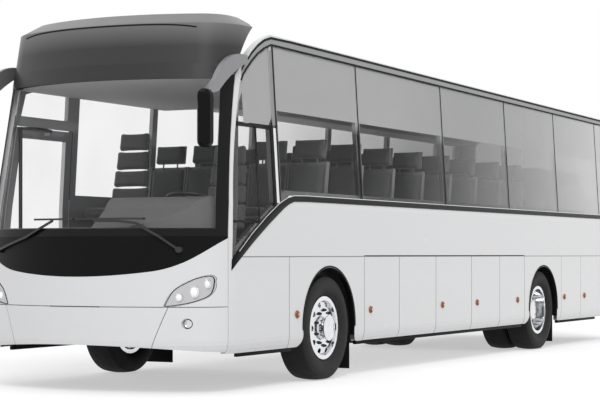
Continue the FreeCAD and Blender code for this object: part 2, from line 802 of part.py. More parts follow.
# the roof slopes down to the windscreen between the cant rails
FRONT_ROOF = (("-front_overhang + 270", "screen_top_height - 30"), ("-1620", "screen_top_height"),
              ("-1200", "screen_top_height + 130"), ("-800", "screen_top_height + 185"),
              ("0", "screen_top_height + 255"), (RAMP + "/2", "screen_top_height + 320"), (RAMP, rail_top(RAMP)))
under_roof = roof_loft("under_roof", MAIN_ROOF, under_section)
HEADER_EDGE = at_front_axle("-screen_edge_top - glass_lap - 14")
header = cut("header", common("header_blank", cut("header_layer", glass_seat, envelope("header_inner", "header_depth")),
                              extrude("header_side", "YZ", -FAR, FAR, [[
                                  (FRONT[0], "screen_top_height - 55"), (HEADER_EDGE, "screen_top_height - 55"),
                                  (HEADER_EDGE, "screen_top_height - 14"),
                                  (at_front_axle("-screen_edge_top - 8"), "screen_top_height - 14"),
                                  (at_front_axle("-screen_edge_top - 8"), "screen_top_height + 110"),
                                  (FRONT[0], "screen_top_height + 110")]])), front_visor)
hatches = [box("hatch_%d" % i, (-380, 380), (at_front_axle(place), at_front_axle(place) + " + 700"),
               (rail_top(place) + " + roof_crown - 30", rail_top(place) + " + roof_crown + 25"))
           for i, place in enumerate((RAMP + " + 150", "wheelbase + 250"))]
roof = fuse("roof", common("main_roof", roof_loft("main_sheet", MAIN_ROOF, main_section), outside),
            common("front_roof", roof_loft("front_sheet", FRONT_ROOF, ramp_section), inside), header, *hatches)
AIR_START = "(wheelbase/2 - 630)"
air_unit = cut("roof_air_conditioner", extrude(
    "air_unit_blank", "XZ", at_front_axle(AIR_START), at_front_axle(AIR_START) + " + air_unit_length", [
        [("-air_unit_half", rail_top(AIR_START) + " + 55"), ("air_unit_half", rail_top(AIR_START) + " + 55"),
         ("air_unit_half - 30", rail_top(AIR_START) + " + roof_crown + air_unit_rise*0.4"),
         ("0", rail_top(AIR_START) + " + roof_crown + air_unit_rise", "via"),
         ("-air_unit_half + 30", rail_top(AIR_START) + " + roof_crown + air_unit_rise*0.4")]]), roof)

# ---------------------------------------------------------------- rear end

rear_zone = box("rear_zone", (-FAR, FAR), (at_front_axle(SIDE_END) + " + 6", TAIL + " + 500"),
                ("skirt_height", FAR))
rear_shell = common("rear_shell", shell, rear_zone, under_roof)
lid_hole = box("lid_hole", ("-lid_half - panel_gap", "lid_half + panel_gap"), REAR,
               ("lid_low_height - panel_gap", "lid_top_height + panel_gap"))
rear_bumper_zone = box("rear_bumper_zone", (-FAR, FAR), REAR,
                       ("skirt_height - 10", "lid_low_height - panel_gap - 4"))
rear_window_zone = extrude("rear_window_zone", "XZ", *REAR, loops=[
    rounded("-rear_window_half", "rear_window_low", "rear_window_half", "rear_window_top", 120)])
rear_window_hole = extrude("rear_window_hole", "XZ", *REAR, loops=[
    rounded("-rear_window_half + glass_lap", "rear_window_low + glass_lap", "rear_window_half - glass_lap",
            "rear_window_top - glass_lap", 90)])
tail_lamp = rounded("lid_half + 70", "lid_low_height + 60", "lid_half + 190", "lid_low_height + 560", 30)
tail_lamp_zone = extrude("tail_lamp_zone", "XZ", *REAR, loops=[tail_lamp, flip(tail_lamp)])

# the lid hangs on two outside hinges; the wall carries the pins
HINGE_Y = "(%s - 47)" % TAIL
HINGE_Z = "(lid_top_height + 6)"
HINGE_X = 560
KNUCKLE = 140


def lid_hinge(label, side):
    """The wall's lugs with their pin, then the lid's knuckle and leaf."""
    def span(low, high):
        return sided(side, str(low), str(high))

    def tube(name, radius, low, high):
        return cylinder(label + name, radius, high - low, span(low, high)[0], HINGE_Y, HINGE_Z)
    lugs = []
    for i, low in enumerate((HINGE_X - 27, HINGE_X + KNUCKLE + 6)):
        lugs += [tube("_lug_%d" % i, 12, low, low + 21),
                 box("%s_lug_block_%d" % (label, i), span(low, low + 21), (HINGE_Y + " - 60", HINGE_Y + " + 12"),
                     (HINGE_Z, HINGE_Z + " + 40"))]
    wall = fuse(label + "_wall_part", tube("_pin", 6, HINGE_X - 27, HINGE_X + KNUCKLE + 27), *lugs)
    leaf = box(label + "_leaf", span(HINGE_X, HINGE_X + KNUCKLE), (HINGE_Y + " - 60", HINGE_Y + " + 12"),
               (HINGE_Z + " - 46", HINGE_Z))
    return wall, fuse(label + "_lid_part", tube("_knuckle", 12, HINGE_X, HINGE_X + KNUCKLE), leaf), \
        tube("_bore", 6.5, HINGE_X - 5, HINGE_X + KNUCKLE + 5)


hinge_parts = [lid_hinge(word + "_lid_hinge", side) for side, word in ((1, "left"), (-1, "right"))]
rear_wall = fuse("rear_wall", cut("rear_open", rear_shell, lid_hole, rear_bumper_zone, rear_window_hole,
                                  tail_lamp_zone, cut("rear_glass_rebate", rear_window_zone, glass_seat)),
                 *[wall for wall, leaf, bore in hinge_parts])
rear_window = common("rear_window", glass_shell, rear_window_zone)
tail_lamps = common("tail_lamps", rear_shell, tail_lamp_zone)
rear_bumper = common("rear_bumper", rear_shell, box(
    "rear_bumper_band", (-FAR, FAR), REAR, ("skirt_height", "lid_low_height - panel_gap - 12")))
louvres = [box("louvre_%d_%d" % (side + 1, row), sided(side, "90", "690"), REAR,
               ("lid_low_height + 110 + louvre_pitch*%d" % row, "lid_low_height + 134 + louvre_pitch*%d" % row))
           for side in (1, -1) for row in range(10)]
engine_lid = cut("engine_lid", fuse("lid_blank", common("lid_panel", rear_shell, box(
    "lid_zone", ("-lid_half", "lid_half"), REAR, ("lid_low_height", "lid_top_height"))),
    *[leaf for wall, leaf, bore in hinge_parts]), *louvres, *[bore for wall, leaf, bore in hinge_parts])
bumpers = group("bumpers", front_bumper, rear_bumper)
ENGINE = ("(%s - engine_length - 260)" % TAIL, "(%s - 260)" % TAIL)
engine = box("engine", ("-engine_width/2", "engine_width/2"), ENGINE, ("engine_low_height", "engine_top_height"))

# ---------------------------------------------------------------- floor, steps and frame

FLOOR_HALF = "(%s - wall - 10)" % HALF
RISER = ("(-entry_rear)", "(30 - entry_rear)")


def staircase():
    """Entry steps in cross section: treads rise from the right side to the driver's floor."""
    rise = "((driver_floor_height - first_step_height)/3)"
    start = "-(%s)" % FLOOR_HALF
    points = [(start, "first_step_height - 30"), (start, "first_step_height")]
    for i in range(3):
        x = "%s + 250*%d" % (start, i + 1)
        points.append((x, "first_step_height + %d*%s" % (i, rise)))
        points.append((x, "first_step_height + %d*%s" % (i + 1, rise)))
    points.append((x + " + 30", "driver_floor_height"))
    for i in reversed(range(3)):
        x = "%s + 250*%d + 30" % (start, i + 1)
        points.append((x, "first_step_height + %d*%s - 30" % (i, rise)))
        if i:
            points.append(("%s + 250*%d + 30" % (start, i), "first_step_height + %d*%s - 30" % (i, rise)))
    return points


floor_limit = envelope("floor_limit", "wall + 10")
STAIR_END = "-(%s) + 780" % FLOOR_HALF
entry_steps = common("entry_steps", fuse(
    "step_blank", extrude("stairs", "XZ", at_front_axle(-1880), at_front_axle(RISER[0]), [staircase()]),
    box("riser_side", ("-(%s)" % FLOOR_HALF, STAIR_END), (at_front_axle(RISER[0]), at_front_axle(RISER[1])),
        ("first_step_height - 30", "floor_height")),
    box("riser_back", (STAIR_END, FLOOR_HALF), (at_front_axle(RISER[0]), at_front_axle(RISER[1])),
        ("driver_floor_height - 40", "floor_height"))), floor_limit)
cabin_floor = common("cabin_floor", group(
    "floor_blank",
    box("driver_floor", (STAIR_END, FLOOR_HALF), (at_front_axle(-1880), at_front_axle(RISER[0])),
        ("driver_floor_height - 40", "driver_floor_height")),
    box("deck", ("-(%s)" % FLOOR_HALF, FLOOR_HALF), (at_front_axle(RISER[1]), TAIL + " - 250"),
        ("floor_height - floor_plate", "floor_height"))), floor_limit)

RAIL_IN = "(rail_spread - rail_width)/2"
RAIL_OUT = "(rail_spread + rail_width)/2"
RAIL_TOP = "(rail_low_height + rail_depth)"
FRONT_RAILS = (at_front_axle(-1900), at_front_axle(BAY_START))
REAR_RAILS = (at_front_axle(BAY_END), TAIL + " - 180")
frame_rails = group("frame_rails", *[
    box("rail_%d_%d" % (side + 1, i), sided(side, RAIL_IN, RAIL_OUT), span, ("rail_low_height", RAIL_TOP))
    for side in (1, -1) for i, span in enumerate((FRONT_RAILS, REAR_RAILS))])

bracing = []
# cross members between the rails, then the outriggers that carry the floor's edges
BRACES = (("-1890", None), ("-700", None), ("arch_radius + 94", 1180), ("wheelbase - 657", 1180),
          ("wheelbase + 643", 1180), ("body_length - front_overhang - 250", None))
for i, (place, reach) in enumerate(BRACES):
    span = (at_front_axle(place), at_front_axle(place) + " + 60")
    level = ("rail_low_height + 20", RAIL_TOP + " - 20")
    bracing.append(box("cross_member_%d" % i, ("-" + RAIL_IN, RAIL_IN), span, level))
    if reach:
        bracing += [box("outrigger_%d_%d" % (i, side + 1), sided(side, RAIL_OUT, str(reach)), span, level)
                    for side in (1, -1)]
POSTS = (("-1500", "driver_floor_height - 40"), ("-500", "floor_height - floor_plate"),
         ("arch_radius + 94", "floor_height - floor_plate"), ("wheelbase - 657", "floor_height - floor_plate"),
         ("wheelbase + 643", "floor_height - floor_plate"),
         ("body_length - front_overhang - 900", "floor_height - floor_plate"))
for i, (place, top) in enumerate(POSTS):
    bracing += [box("upright_%d_%d" % (i, side + 1), sided(side, RAIL_IN + " + 10", RAIL_OUT + " - 10"),
                    (at_front_axle(place), at_front_axle(place) + " + 60"), (RAIL_TOP, top)) for side in (1, -1)]
underframe = group("underframe", *bracing)
TOW_MOUTH = "(%s + 360)" % NOSE
tow_bracket = cut("tow_bracket", fuse(
    "tow_blank", box("tow_arm", (RAIL_OUT, "tow_x + 60"), (TOW_MOUTH + " + 170", TOW_MOUTH + " + 250"),
                     ("tow_height - 60", "tow_height + 120")),
    cylinder("tow_boss", "tow_bore_radius + 20", 180, "tow_x", TOW_MOUTH, "tow_height", (0, 1, 0))),
    cylinder("tow_bore", "tow_bore_radius", "tow_bore_depth", "tow_x", TOW_MOUTH, "tow_height", (0, 1, 0)))

BAY_HALF = "(%s - wall - 20)" % HALF
bay_walls = [box("bay_bulkhead_%d" % i, ("-(%s)" % BAY_HALF, BAY_HALF),
                 (at_front_axle(line) + " + %d" % low, at_front_axle(line) + " + %d" % (low + 30)),
                 ("bay_floor_height", "floor_height - floor_plate"))
             for i, (line, low) in enumerate(((BAY_LINES[0], 0), (BAY_LINES[1], -15), (BAY_LINES[3], -15),
                                              (BAY_LINES[5], -30)))]
luggage_bays = fuse("luggage_bays", box(
    "bay_floor", ("-(%s)" % BAY_HALF, BAY_HALF), (at_front_axle(BAY_START), at_front_axle(BAY_END)),
    ("skirt_height - 30", "bay_floor_height")), *bay_walls)


def wheelhouse(label, side, axle, radius, inner_x):
    """An arched liner over one wheel with its inner wall."""
    def hoop(grow):
        reach = "(%s + %s)" % (radius, grow)
        return [(axle + " - " + reach, "bay_floor_height + 10"),
                (axle + " + " + reach, "bay_floor_height + 10"),
                (axle + " + " + reach, "tyre_radius"),
                (axle, "tyre_radius + %s + 40" % reach, "via"),
                (axle + " - " + reach, "tyre_radius")]
    low, high = sided(side, inner_x, HALF + " - wall - 8")
    hollow_low, hollow_high = sided(side, inner_x + " + 15", HALF + " - wall - 8")
    notch = box(label + "_notch", (low, high), (axle + " - 300", axle + " + 300"), ("0", "tyre_radius + 140"))
    return cut(label, extrude(label + "_outer", "YZ", low, high, [hoop("50")]),
               extrude(label + "_hollow", "YZ", hollow_low, hollow_high, [hoop("30")]), notch)


CORNERS = [("wheelhouse_%d_%d" % (side + 1, i), side, axle, radius, inner)
           for i, (axle, radius, inner) in enumerate(((FRONT_AXLE, "arch_radius", "liner_inner_x"),
                                                      (REAR_AXLE, "rear_arch_radius", "liner_inner_x - 20")))
           for side in (1, -1)]
wheelhouses = group("wheelhouses", *[wheelhouse(*corner) for corner in CORNERS])
mud_flaps = group("mud_flaps", *[
    box(label + "_flap", sided(side, "860", "1190"),
        ("%s + %s + 50" % (axle, radius), "%s + %s + 58" % (axle, radius)), (75, "tyre_radius"))
    for label, side, axle, radius, inner in CORNERS])

# ---------------------------------------------------------------- axles, knuckles, wheels

KINGPIN = "(kingpin_track/2)"
beam_left = [("%s - 290" % KINGPIN, "tyre_radius - 10"), ("%s - 100" % KINGPIN, "tyre_radius + 55"),
             (KINGPIN, "tyre_radius + 55"), (KINGPIN, "tyre_radius - 55"),
             ("%s - 100" % KINGPIN, "tyre_radius - 55"), ("%s - 260" % KINGPIN, "tyre_radius - 130")]
front_axle = cut("front_axle", fuse(
    "axle_blank", extrude("axle_beam", "XZ", FRONT_AXLE + " - 55", FRONT_AXLE + " + 55",
                          [beam_left + flip(beam_left[::-1])]),
    *[cylinder("air_bag_%d" % (side + 1), 70, "rail_low_height - tyre_radius + 30", "%d*rail_spread/2" % side,
               FRONT_AXLE, "tyre_radius - 30", (0, 0, 1)) for side in (1, -1)],
    *[cylinder("kingpin_eye_%d" % (side + 1), 56, 110, "%d*%s" % (side, KINGPIN),
               FRONT_AXLE, "tyre_radius - 55", (0, 0, 1)) for side in (1, -1)]),
    *[cylinder("kingpin_bore_%d" % (side + 1), "kingpin_radius + kingpin_clearance", 200, "%d*%s" % (side, KINGPIN),
               FRONT_AXLE, "tyre_radius - 100", (0, 0, 1)) for side in (-1, 1)])


def knuckle(label, side):
    """Fork round the beam's end on its kingpin, with the stub axle and steering arm."""
    def span(low, high):
        return sided(side, "%s + (%s)" % (KINGPIN, low), "%s + (%s)" % (KINGPIN, high))
    y = (FRONT_AXLE + " - 60", FRONT_AXLE + " + 60")
    return fuse(
        label,
        box(label + "_top_lug", span("-50", "90"), y, ("tyre_radius + 60", "tyre_radius + 90")),
        box(label + "_low_lug", span("-50", "90"), y, ("tyre_radius - 90", "tyre_radius - 60")),
        box(label + "_plate", span("66", "90"), (FRONT_AXLE + " - 90", FRONT_AXLE + " + 90"),
            ("tyre_radius - 90", "tyre_radius + 90")),
        cylinder(label + "_kingpin", "kingpin_radius", 180, "%d*%s" % (side, KINGPIN), FRONT_AXLE,
                 "tyre_radius - 90", (0, 0, 1)),
        cylinder(label + "_stub", 40, 110, "%d*(%s + 80)" % (side, KINGPIN), FRONT_AXLE, "tyre_radius", (side, 0, 0)),
        box(label + "_arm", span("40", "88"), (FRONT_AXLE + " + 40", FRONT_AXLE + " + 230"),
            ("tyre_radius - 88", "tyre_radius - 62")))


knuckles = [knuckle("left_knuckle", 1), knuckle("right_knuckle", -1)]


def turned(label, side, x, y, profile):
    """A ring turned about a wheel's axle from a closed profile of (outward, radius) points."""
    sketch = new("Sketcher::SketchObject", label + "_profile")
    draw(sketch, [profile])
    ring = new("Part::Revolution", label)
    ring.Source = sketch
    ring.Axis = Vector(1, 0, 0)
    ring.Base = Vector(0, 0, 0)
    ring.Angle = 360
    ring.Solid = True
    ring.FaceMakerClass = "Part::FaceMakerBullseye"
    if side < 0:
        sketch.Placement = Placement(Vector(), Rotation(Vector(0, 1, 0), 180))
    bind(ring, "Placement.Base.x", "%d*(%s)" % (side, x))
    bind(ring, "Placement.Base.y", y)
    bind(ring, "Placement.Base.z", "tyre_radius")
    return ring


FLANGE = "(rim_width/2)"


def tyre(label, side, x, y):
    """Beads between the rim's flanges, round walls and a slightly crowned tread."""
    half = "(tyre_width/2)"
    bead = "(%s - 11)" % FLANGE
    wall = "((rim_seat_radius + tyre_radius)/2)"
    return turned(label, side, x, y, [
        ("-" + bead, "rim_seat_radius + 1"), ("-" + bead, "rim_radius + 5"), ("-" + half, wall, "via"),
        ("-%s + 25" % half, "tyre_radius - 12"), ("0", "tyre_radius", "via"), (half + " - 25", "tyre_radius - 12"),
        (half, wall, "via"), (bead, "rim_radius + 5"), (bead, "rim_seat_radius + 1")])


def hand_holes(label, side, x, y, low, high):
    """Ten round holes through a wheel disc."""
    return [cylinder("%s_hole_%d" % (label, i), "hand_hole_radius", "(%s) - (%s)" % (high, low),
                     "%d*(%s + (%s))" % (side, x, low),
                     "%s + hand_hole_circle*%.6f" % (y, math.cos(math.radians(36 * i))),
                     "tyre_radius + hand_hole_circle*%.6f" % math.sin(math.radians(36 * i)), (side, 0, 0))
            for i in range(10)]


RIM_BARREL = [("-" + FLANGE, "rim_seat_radius - 22"), ("-" + FLANGE, "rim_radius"),
              ("-%s + 10" % FLANGE, "rim_radius"), ("-%s + 10" % FLANGE, "rim_seat_radius"),
              (FLANGE + " - 10", "rim_seat_radius"), (FLANGE + " - 10", "rim_radius"),
              (FLANGE, "rim_radius"), (FLANGE, "rim_seat_radius - 22")]
DISC = "(rim_seat_radius - 16)"


def front_rim(label, side):
    """Wheel disc domed outwards, with drum, bearing bore and a round hub cap."""
    x = "front_track/2"
    dish = turned(label + "_dish", side, x, FRONT_AXLE, [
        ("-30", "185"), ("-30", "205"), ("60", "205"), ("60", DISC), ("75", DISC), ("94", "246"),
        ("106", "200"), ("112", "150"), ("112", "hub_radius"), ("136", "hub_radius - 4"), ("148", "hub_radius - 20"),
        ("148", "64"), ("162", "46", "via"), ("168", "14"), ("168", "0"), ("85", "0"), ("85", "41"), ("0", "41"), ("0", "80"),
        ("60", "80"), ("60", "185")])
    return cut(label, fuse(label + "_blank", turned(label + "_barrel", side, x, FRONT_AXLE, RIM_BARREL), dish),
               *hand_holes(label, side, x, FRONT_AXLE, "50", "130"))


def rear_rims(label, side):
    """Two dished rims bolted back to back on one hub and drum."""
    x = "rear_outer_track/2"
    gap = "twin_spacing/2"
    hub = turned(label + "_hub", side, x, REAR_AXLE, [
        ("-%s + 12" % gap, "120"), ("-%s + 12" % gap, "190"), ("-40", DISC), ("-60", DISC + " + 4"),
        ("-" + gap, "200"), ("-twin_spacing + 60", DISC + " + 4"), ("-twin_spacing + 40", DISC),
        ("-%s - 12" % gap, "190"), ("-twin_spacing - 60", "190"), ("-twin_spacing - 60", "72"),
        ("-" + gap, "72"), ("-" + gap, "0"), ("52", "0"), ("52", "14"), ("46", "46", "via"), ("30", "70"), ("18", "hub_radius"),
        ("-20", "120")])
    return cut(label, fuse(label + "_blank", turned(label + "_outer_barrel", side, x, REAR_AXLE, RIM_BARREL),
                           turned(label + "_inner_barrel", side, x + " - twin_spacing", REAR_AXLE, RIM_BARREL), hub),
               *hand_holes(label, side, x, REAR_AXLE, "-twin_spacing - 5", "0"))


wheel_nodes = []
for side, word in ((1, "left"), (-1, "right")):
    wheel_nodes += [
        tyre("front_%s_tyre" % word, side, "front_track/2", FRONT_AXLE),
        front_rim("front_%s_rim" % word, side),
        group("rear_%s_tyres" % word,
              tyre("rear_%s_outer_tyre" % word, side, "rear_outer_track/2", REAR_AXLE),
              tyre("rear_%s_inner_tyre" % word, side, "rear_outer_track/2 - twin_spacing", REAR_AXLE)),
        rear_rims("rear_%s_rims" % word, side)]

AXLE_LENGTH = "(rear_outer_track - twin_spacing - 20)"
rear_axle = fuse(
    "rear_axle", cylinder("rear_tube", 70, AXLE_LENGTH, "-%s/2" % AXLE_LENGTH, REAR_AXLE, "tyre_radius"),
    cylinder("differential", 190, 300, "-150", REAR_AXLE, "tyre_radius"),
    *[box("spring_seat_%d" % (side + 1), sided(side, RAIL_IN, RAIL_OUT), (REAR_AXLE + " - 60", REAR_AXLE + " + 60"),
          ("tyre_radius", "rail_low_height")) for side in (1, -1)])

# ---------------------------------------------------------------- entry door and its arm

POST = ("(post_inset - %s)" % HALF, at_front_axle("-post_place"))
PIN = ("(door_pin_inset - %s)" % HALF, at_front_axle("-door_pin_place"))


def door_glass_loop(inset):
    return [(at_front_axle("-entry_front + %s" % inset), "entry_sill_height + 550 + %s" % inset),
            (at_front_axle("-entry_rear - %s" % inset), "entry_sill_height + 550 + %s" % inset),
            (at_front_axle("-entry_rear - %s" % inset), "entry_top_height - %s" % inset),
            (at_front_axle("-entry_front + entry_lean - 10 + %s" % inset), "entry_top_height - %s" % inset),
            (at_front_axle("-entry_front + %s" % inset), "screen_low_height + 100")]


door_zone = extrude("door_zone", "YZ", -FAR, "0", [entry_outline("0")])
door_light = extrude("door_light", "YZ", -FAR, "0", [door_glass_loop("100")])
door_glass_zone = extrude("door_glass_zone", "YZ", -FAR, "0", [door_glass_loop("70")])
ARM_LEVELS = ("(driver_floor_height - 50)", "(entry_top_height - 28)")
brackets = []
for i, level in enumerate(ARM_LEVELS):
    brackets += [box("door_bracket_%d" % i, ("wall/2 - (%s)" % HALF, PIN[0] + " + 25"),
                     (PIN[1] + " - 25", PIN[1] + " + 25"), (level + " - 30", level + " - 2")),
                 cylinder("door_pin_%d" % i, "door_pin_radius", 34, PIN[0], PIN[1], level + " - 10", (0, 0, 1))]
entry_door = fuse("entry_door", cut("entry_door_frame", common("entry_door_blank", shell, door_zone), door_light,
                                    cut("door_rebate", door_glass_zone, glass_seat)),
                  common("door_brackets", fuse("bracket_blank", *brackets), outside))
entry_door_glass = common("entry_door_glass", glass_shell, door_glass_zone)


def arm_bar(label, level):
    """A cranked flat bar from the post round the door jamb to the door's pin, with an eye at the pin."""
    path = ((0, -18), (70, 15), (115, 90), (118, 160), (100, 270), (30, 460), (-15, 460), (-15, 435), (60, 260),
            (80, 140), (76, 100), (40, 50), (0, 18))
    plate = extrude(label + "_plate", "XY", level, level + " + 24",
                    [[("%s + %d" % (POST[0], x), "%s + %d" % (POST[1], y)) for x, y in path]])
    eye = cylinder(label + "_eye", "door_pin_radius + 12", 24, PIN[0], PIN[1], level, (0, 0, 1))
    bore = cylinder(label + "_bore", "door_pin_radius + hinge_clearance", 60, PIN[0], PIN[1], level + " - 20",
                    (0, 0, 1))
    return cut(label, fuse(label + "_blank", plate, eye), bore)


entry_arm = fuse("entry_door_arm", cylinder(
    "entry_post", "post_radius", "entry_top_height - first_step_height - 4", POST[0], POST[1],
    "first_step_height + 2", (0, 0, 1)), *[arm_bar("entry_arm_%d" % i, level) for i, level in enumerate(ARM_LEVELS)])

# ---------------------------------------------------------------- cabin

SEAT_BASE = 360


def seat_pieces(label, x, y, floor):
    """One coach seat in side view: cushion with a rolled front, and a reclined back with a round top."""
    def at(back, up, *word):
        return ("%s + %d" % (y, back), "%s + %s" % (floor, up)) + word
    cushion = [at(-420, SEAT_BASE), at(10, SEAT_BASE), at(20, 445), at(-400, 472), at(-455, 425, "via")]
    back = [at(30, SEAT_BASE), at(105, SEAT_BASE), at(235, "seat_back_height - 42"),
            at(196, "seat_back_height", "via"), at(152, "seat_back_height - 38")]
    return [extrude(label + "_cushion", "YZ", x[0], x[1], [cushion]),
            extrude(label + "_back", "YZ", x[0], x[1], [back])]


def seat_leg(label, x, y, floor):
    """Pedestal under a seat or a pair, wide at the top."""
    return extrude(label + "_leg", "YZ", x[0], x[1], [[
        (y + " - 220", floor), (y + " - 20", floor), (y + " + 95", "%s + %d" % (floor, SEAT_BASE)),
        (y + " - 330", "%s + %d" % (floor, SEAT_BASE))]])


PAIR = "(aisle_half + seat_width + 6)"
seat_solids = []
leg_solids = []
for side, first in ((1, "first_row"), (-1, "first_right_row")):
    rows = 1 + int((value_of(SIDE_END) - 460 - value_of(first)) / value_of("seat_pitch"))
    for row in range(rows):
        y = at_front_axle("%s + seat_pitch*%d" % (first, row))
        for place in (0, 1):
            x = "(aisle_half + %d*(seat_width + 12))" % place
            seat_solids += seat_pieces("seat_%d_%d_%d" % (side + 1, row, place), sided(side, x, x + " + seat_width"),
                                       y, "floor_height")
        leg_solids.append(seat_leg("seat_%d_%d" % (side + 1, row), sided(side, PAIR + " - 30", PAIR + " + 30"),
                                   y, "floor_height"))
seats = group("passenger_seats", *seat_solids)
CREW = (("driver_seat", ("380", "840"), at_front_axle(-950), "driver_floor_height"),
        ("guide_seat", ("-1010", "-550"), at_front_axle(-280), "floor_height"))
crew_seats = group("crew_seats", *[piece for chair in CREW for piece in seat_pieces(*chair)])
seat_legs = group("seat_legs", *leg_solids, *[
    seat_leg(label, (x[0] + " + 180", x[1] + " - 180"), y, floor) for label, x, y, floor in CREW])

rack_section = [("rack_reach + 340", "rack_low_height + 20"), (FAR, "rack_low_height"),
                (FAR, "rack_low_height + 140"), ("rack_reach + 340", "rack_low_height + 140"),
                ("rack_reach + 300", "rack_low_height + 80", "via")]
parcel_racks = common("parcel_racks", inside, extrude(
    "rack_zone", "XZ", at_front_axle(-400), at_front_axle(SIDE_END) + " - 300", [rack_section, flip(rack_section)]))

dash_limit = envelope("dash_limit", "wall + 8")
dashboard = common("dashboard", fuse(
    "dash_blank",
    extrude("dash_low", "YZ", -1100, 1150, [[
        (NOSE + " + 80", "driver_floor_height"), (at_front_axle(-1850), "driver_floor_height"),
        (at_front_axle(-1850), "screen_low_height + 20"), (at_front_axle(-1885), "screen_low_height + 66", "via"),
        (at_front_axle(-1960), "screen_low_height + 80"), (NOSE + " + 80", "screen_low_height + 20")]]),
    extrude("dash_high", "YZ", 100, 1150, [[
        (NOSE + " + 80", "driver_floor_height"), (at_front_axle(-1760), "driver_floor_height"),
        (at_front_axle(-1700), "driver_floor_height + 350"), (at_front_axle(-1780), "screen_low_height + 250"),
        (at_front_axle(-1940), "screen_low_height + 345", "via"), (at_front_axle(-2080), "screen_low_height + 240"),
        (NOSE + " + 80", "screen_low_height + 40")]])), dash_limit)

# the wheel faces up and back to the driver; its column meets the floor ahead of the seat
WHEEL = ("610", at_front_axle(-1440), "driver_floor_height + 690")
TILT = 0.28
ring = new("Part::Torus", "wheel_ring")
ring.Radius1 = 222
ring.Radius2 = 16
ring.Placement = Placement(Vector(), Rotation(Vector(0, 0, 1), Vector(0, TILT, 1)))
for axis, text in zip("xyz", WHEEL):
    bind(ring, "Placement.Base." + axis, text)
column = cylinder("wheel_column", 30, 800, WHEEL[0], "%s - %.1f" % (WHEEL[1], 770 * TILT), WHEEL[2] + " - 770",
                  (0, TILT, 1))
spokes = [cylinder("wheel_spoke_%d" % i, 11, 222, *WHEEL, axis=axis)
          for i, axis in enumerate(((1, 0, 0), (-1, 0, 0), (0, -1, TILT)))]
steering_wheel = common("steering_wheel", fuse("wheel_blank", ring, column, *spokes), box(
    "wheel_zone", (0, 1200), FRONT, ("driver_floor_height", FAR)))

# ---------------------------------------------------------------- mirrors and wipers

beyond = envelope("beyond", "-30")
over_glass = cut("over_glass", beyond, outside)
wiper_band = cut("wiper_band", beyond, envelope("near", "-12"))


def strip(points, half):
    """A thin loop that follows points from left to right."""
    return [(x, z - half) for x, z in points] + [(x, z + half) for x, z in reversed(points)]


PIVOT = (952, 1243)
ARMS = (((203, 1494), (436, 1490), (587, 1472), (790, 1360), PIVOT),
        ((-PIVOT[0], PIVOT[1]), (-533, 1357), (-229, 1498)))
BLADES = (((20, 1510), (652, 1510)), ((-454, 1510), (-8, 1510)))
wipers = fuse(
    "wipers",
    common("wiper_arms", wiper_band, fuse("wiper_arm_zones", *[
        extrude("wiper_arm_%d" % i, "XZ", *FRONT, loops=[strip(path, 11)]) for i, path in enumerate(ARMS)])),
    common("wiper_feet", over_glass, fuse(
        "wiper_foot_zones", extrude("wiper_blades", "XZ", *FRONT, loops=[strip(path, 8) for path in BLADES]),
        *[cylinder("wiper_pivot_%d" % (side + 1), 26, 800, side * PIVOT[0], NOSE, PIVOT[1], (0, 1, 0))
          for side in (1, -1)])))

MIRROR_IN = "(%s - mirror_width/2 - 40)" % HALF


def mirror_head(label, side):
    """A tall shell with round corners that narrows towards the front."""
    def section(name, place, inset):
        low, high = sided(side, "%s + %d" % (MIRROR_IN, inset), "%s + mirror_width - %d" % (MIRROR_IN, inset))
        return outline(label + name, "XZ", at_front_axle(place), [rounded(
            low, "mirror_low_height + %d" % inset, high, "mirror_top_height - %d" % inset,
            "mirror_width/2 - 6 - %d" % inset)])
    return loft(label, [section("_nose", -2330, 32), section("_middle", -2290, 0), section("_glass", -2235, 0)])


def mirror_arm(label, side, head):
    """A swan-neck arm in side view, from a knob at the pillar's top to the mirror's head."""
    def at(place, rise, *word):
        return (at_front_axle(place), "screen_top_height + (%d)" % rise) + word
    profile = [at(-1540, 165), at(-1640, 165), at(-1880, 103, "via"), at(-2080, -76), at(-2180, -160, "via"),
               at(-2285, -212), at(-2245, -232), at(-2140, -215, "via"), at(-2040, -190), at(-1835, -42, "via"),
               at(-1605, 75), at(-1540, 85)]
    low, high = sided(side, HALF + " - 78", HALF + " - 36")
    knob = cylinder(label + "_knob", 42, 140, "%d*(%s - 180)" % (side, HALF), at_front_axle(-1572),
                    "screen_top_height + 122", (side, 0, 0))
    return cut(label, fuse(label + "_blank", extrude(label + "_bow", "YZ", low, high, [profile]), knob), outside, head,
               front_visor)


heads = {side: mirror_head(word + "_mirror_head", side) for side, word in ((1, "left"), (-1, "right"))}
mirror_heads = group("mirror_heads", *heads.values())
mirror_arms = group("mirror_arms", *[mirror_arm("mirror_arm_%d" % (side + 1), side, head)
                                     for side, head in heads.items()])

NODES = [
    cabin_floor, entry_steps, frame_rails, underframe, tow_bracket, luggage_bays, left_wall, right_wall, roof,
    air_unit, front_visor, front_mask, wiper_panel, bumpers, windscreen, headlamps, side_windows, rear_wall,
    rear_window, tail_lamps, engine_lid, engine, wheelhouses, mud_flaps, front_axle, rear_axle, seats, seat_legs,
    crew_seats, parcel_racks, dashboard, steering_wheel, mirror_heads, mirror_arms, wipers, entry_door,
    entry_door_glass, entry_arm,
] + knuckles + wheel_nodes + luggage_doors

